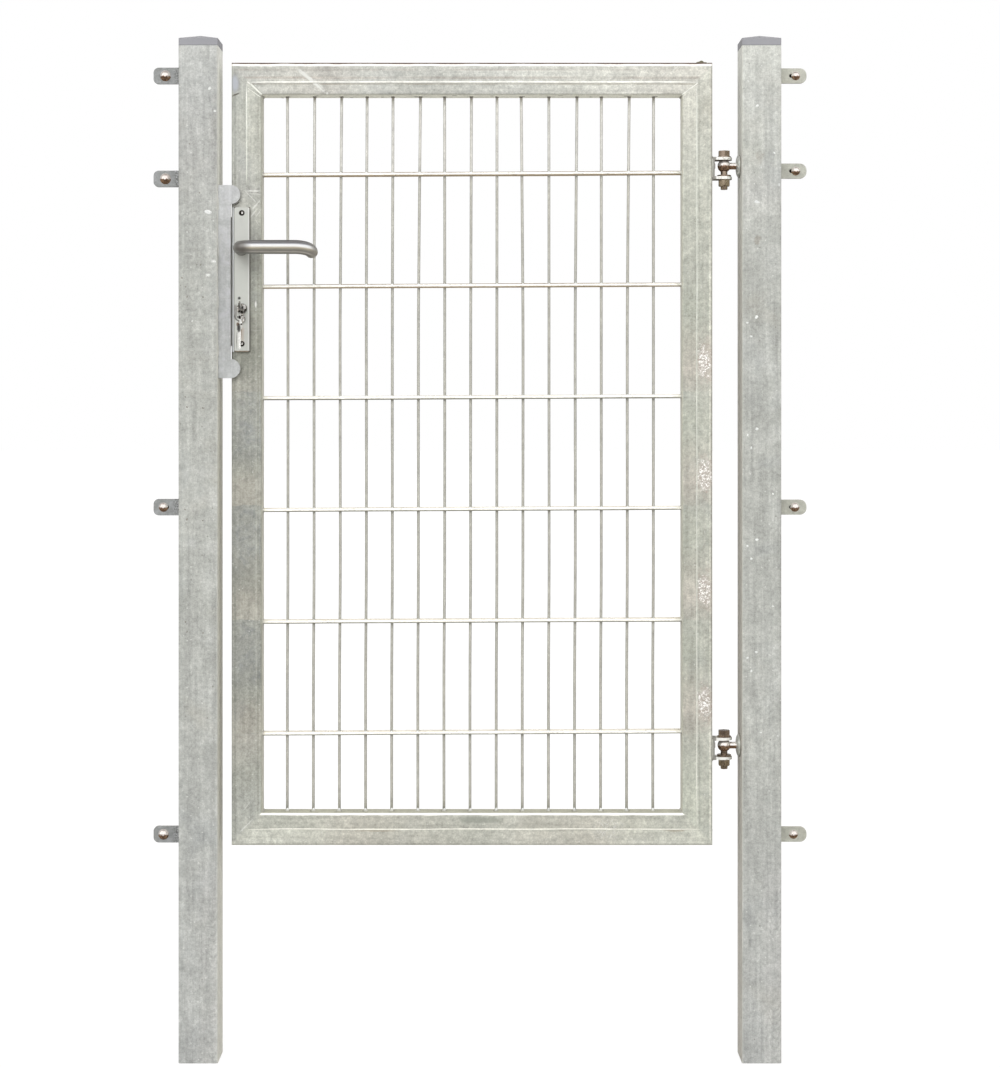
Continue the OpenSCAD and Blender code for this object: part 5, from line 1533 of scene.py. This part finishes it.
def w_fit(v, a, b, c=0.0, d=1.0):
    n = w_node("ShaderNodeMapRange", interpolation_type="SMOOTHSTEP")
    wt.links.new(v, n.inputs["Value"])
    for name, x in zip(("From Min", "From Max", "To Min", "To Max"), (a, b, c, d)):
        n.inputs[name].default_value = x
    return n.outputs["Result"]


def w_times(a, b):
    n = w_node("ShaderNodeMath", operation="MULTIPLY")
    wt.links.new(a, n.inputs[0])
    wt.links.new(b, n.inputs[1])
    return n.outputs[0]


def w_mix(fac, a, b):
    n = w_node("ShaderNodeMix", data_type="RGBA")
    for s, v in ((n.inputs["Factor"], fac), (n.inputs[6], a), (n.inputs[7], b)):
        if isinstance(v, bpy.types.NodeSocket):
            wt.links.new(v, s)
        else:
            s.default_value = v
    return n.outputs[2]


w_dir = w_node("ShaderNodeSeparateXYZ")
wt.links.new(w_node("ShaderNodeTexCoord").outputs["Generated"], w_dir.inputs[0])
# dark, warm room with one wide bright wall in front and a dimmer one behind, both from the floor to 60 degrees up
band = w_times(w_fit(w_dir.outputs[2], 0.01, 0.05), w_fit(w_dir.outputs[2], 0.975, 0.76))
front = w_times(band, w_fit(w_dir.outputs[1], -0.05, -0.30))
behind = w_times(band, w_fit(w_dir.outputs[1], 0.20, 0.50))
mirrored = w_mix(front, (0.20, 0.185, 0.165, 1), (1.0, 0.99, 0.98, 1))
mirrored = w_mix(behind, mirrored, (0.36, 0.355, 0.345, 1))
# matt surfaces get an even soft light, a little stronger from the front
even = w_mix(w_fit(w_dir.outputs[1], 0.3, -0.6), (0.45, 0.455, 0.46, 1), (0.62, 0.625, 0.63, 1))
w_path = w_node("ShaderNodeLightPath")
look = w_mix(w_path.outputs["Is Glossy Ray"], even, mirrored)
w_lit = w_node("ShaderNodeBackground")
wt.links.new(look, w_lit.inputs[0])
w_seen = w_node("ShaderNodeBackground")
w_seen.inputs[0].default_value = (1, 1, 1, 1)
w_swap = w_node("ShaderNodeMixShader")
wt.links.new(w_path.outputs["Is Camera Ray"], w_swap.inputs[0])
wt.links.new(w_lit.outputs[0], w_swap.inputs[1])
wt.links.new(w_seen.outputs[0], w_swap.inputs[2])
wt.links.new(w_swap.outputs[0], w_node("ShaderNodeOutputWorld").inputs[0])

scene = bpy.context.scene
scene.view_settings.view_transform = "Standard"
scene.view_settings.look = "None"
scene.view_settings.exposure = 0.0
scene.view_settings.gamma = 1.0

cam = bpy.data.cameras.new("camera")
cam.sensor_fit = "AUTO"
cam.sensor_width = 36.0
cam.lens = 69.64
cam.shift_x = 0.0094
cam.shift_y = -0.112
cam.clip_start, cam.clip_end = 0.05, 300.0
camera = bpy.data.objects.new("camera", cam)
camera.location = (-0.4827, -3.700, 1.1532)
camera.rotation_euler = (math.radians(90), 0, 0)
scene.collection.objects.link(camera)
scene.camera = camera

bpy.context.view_layer.update()
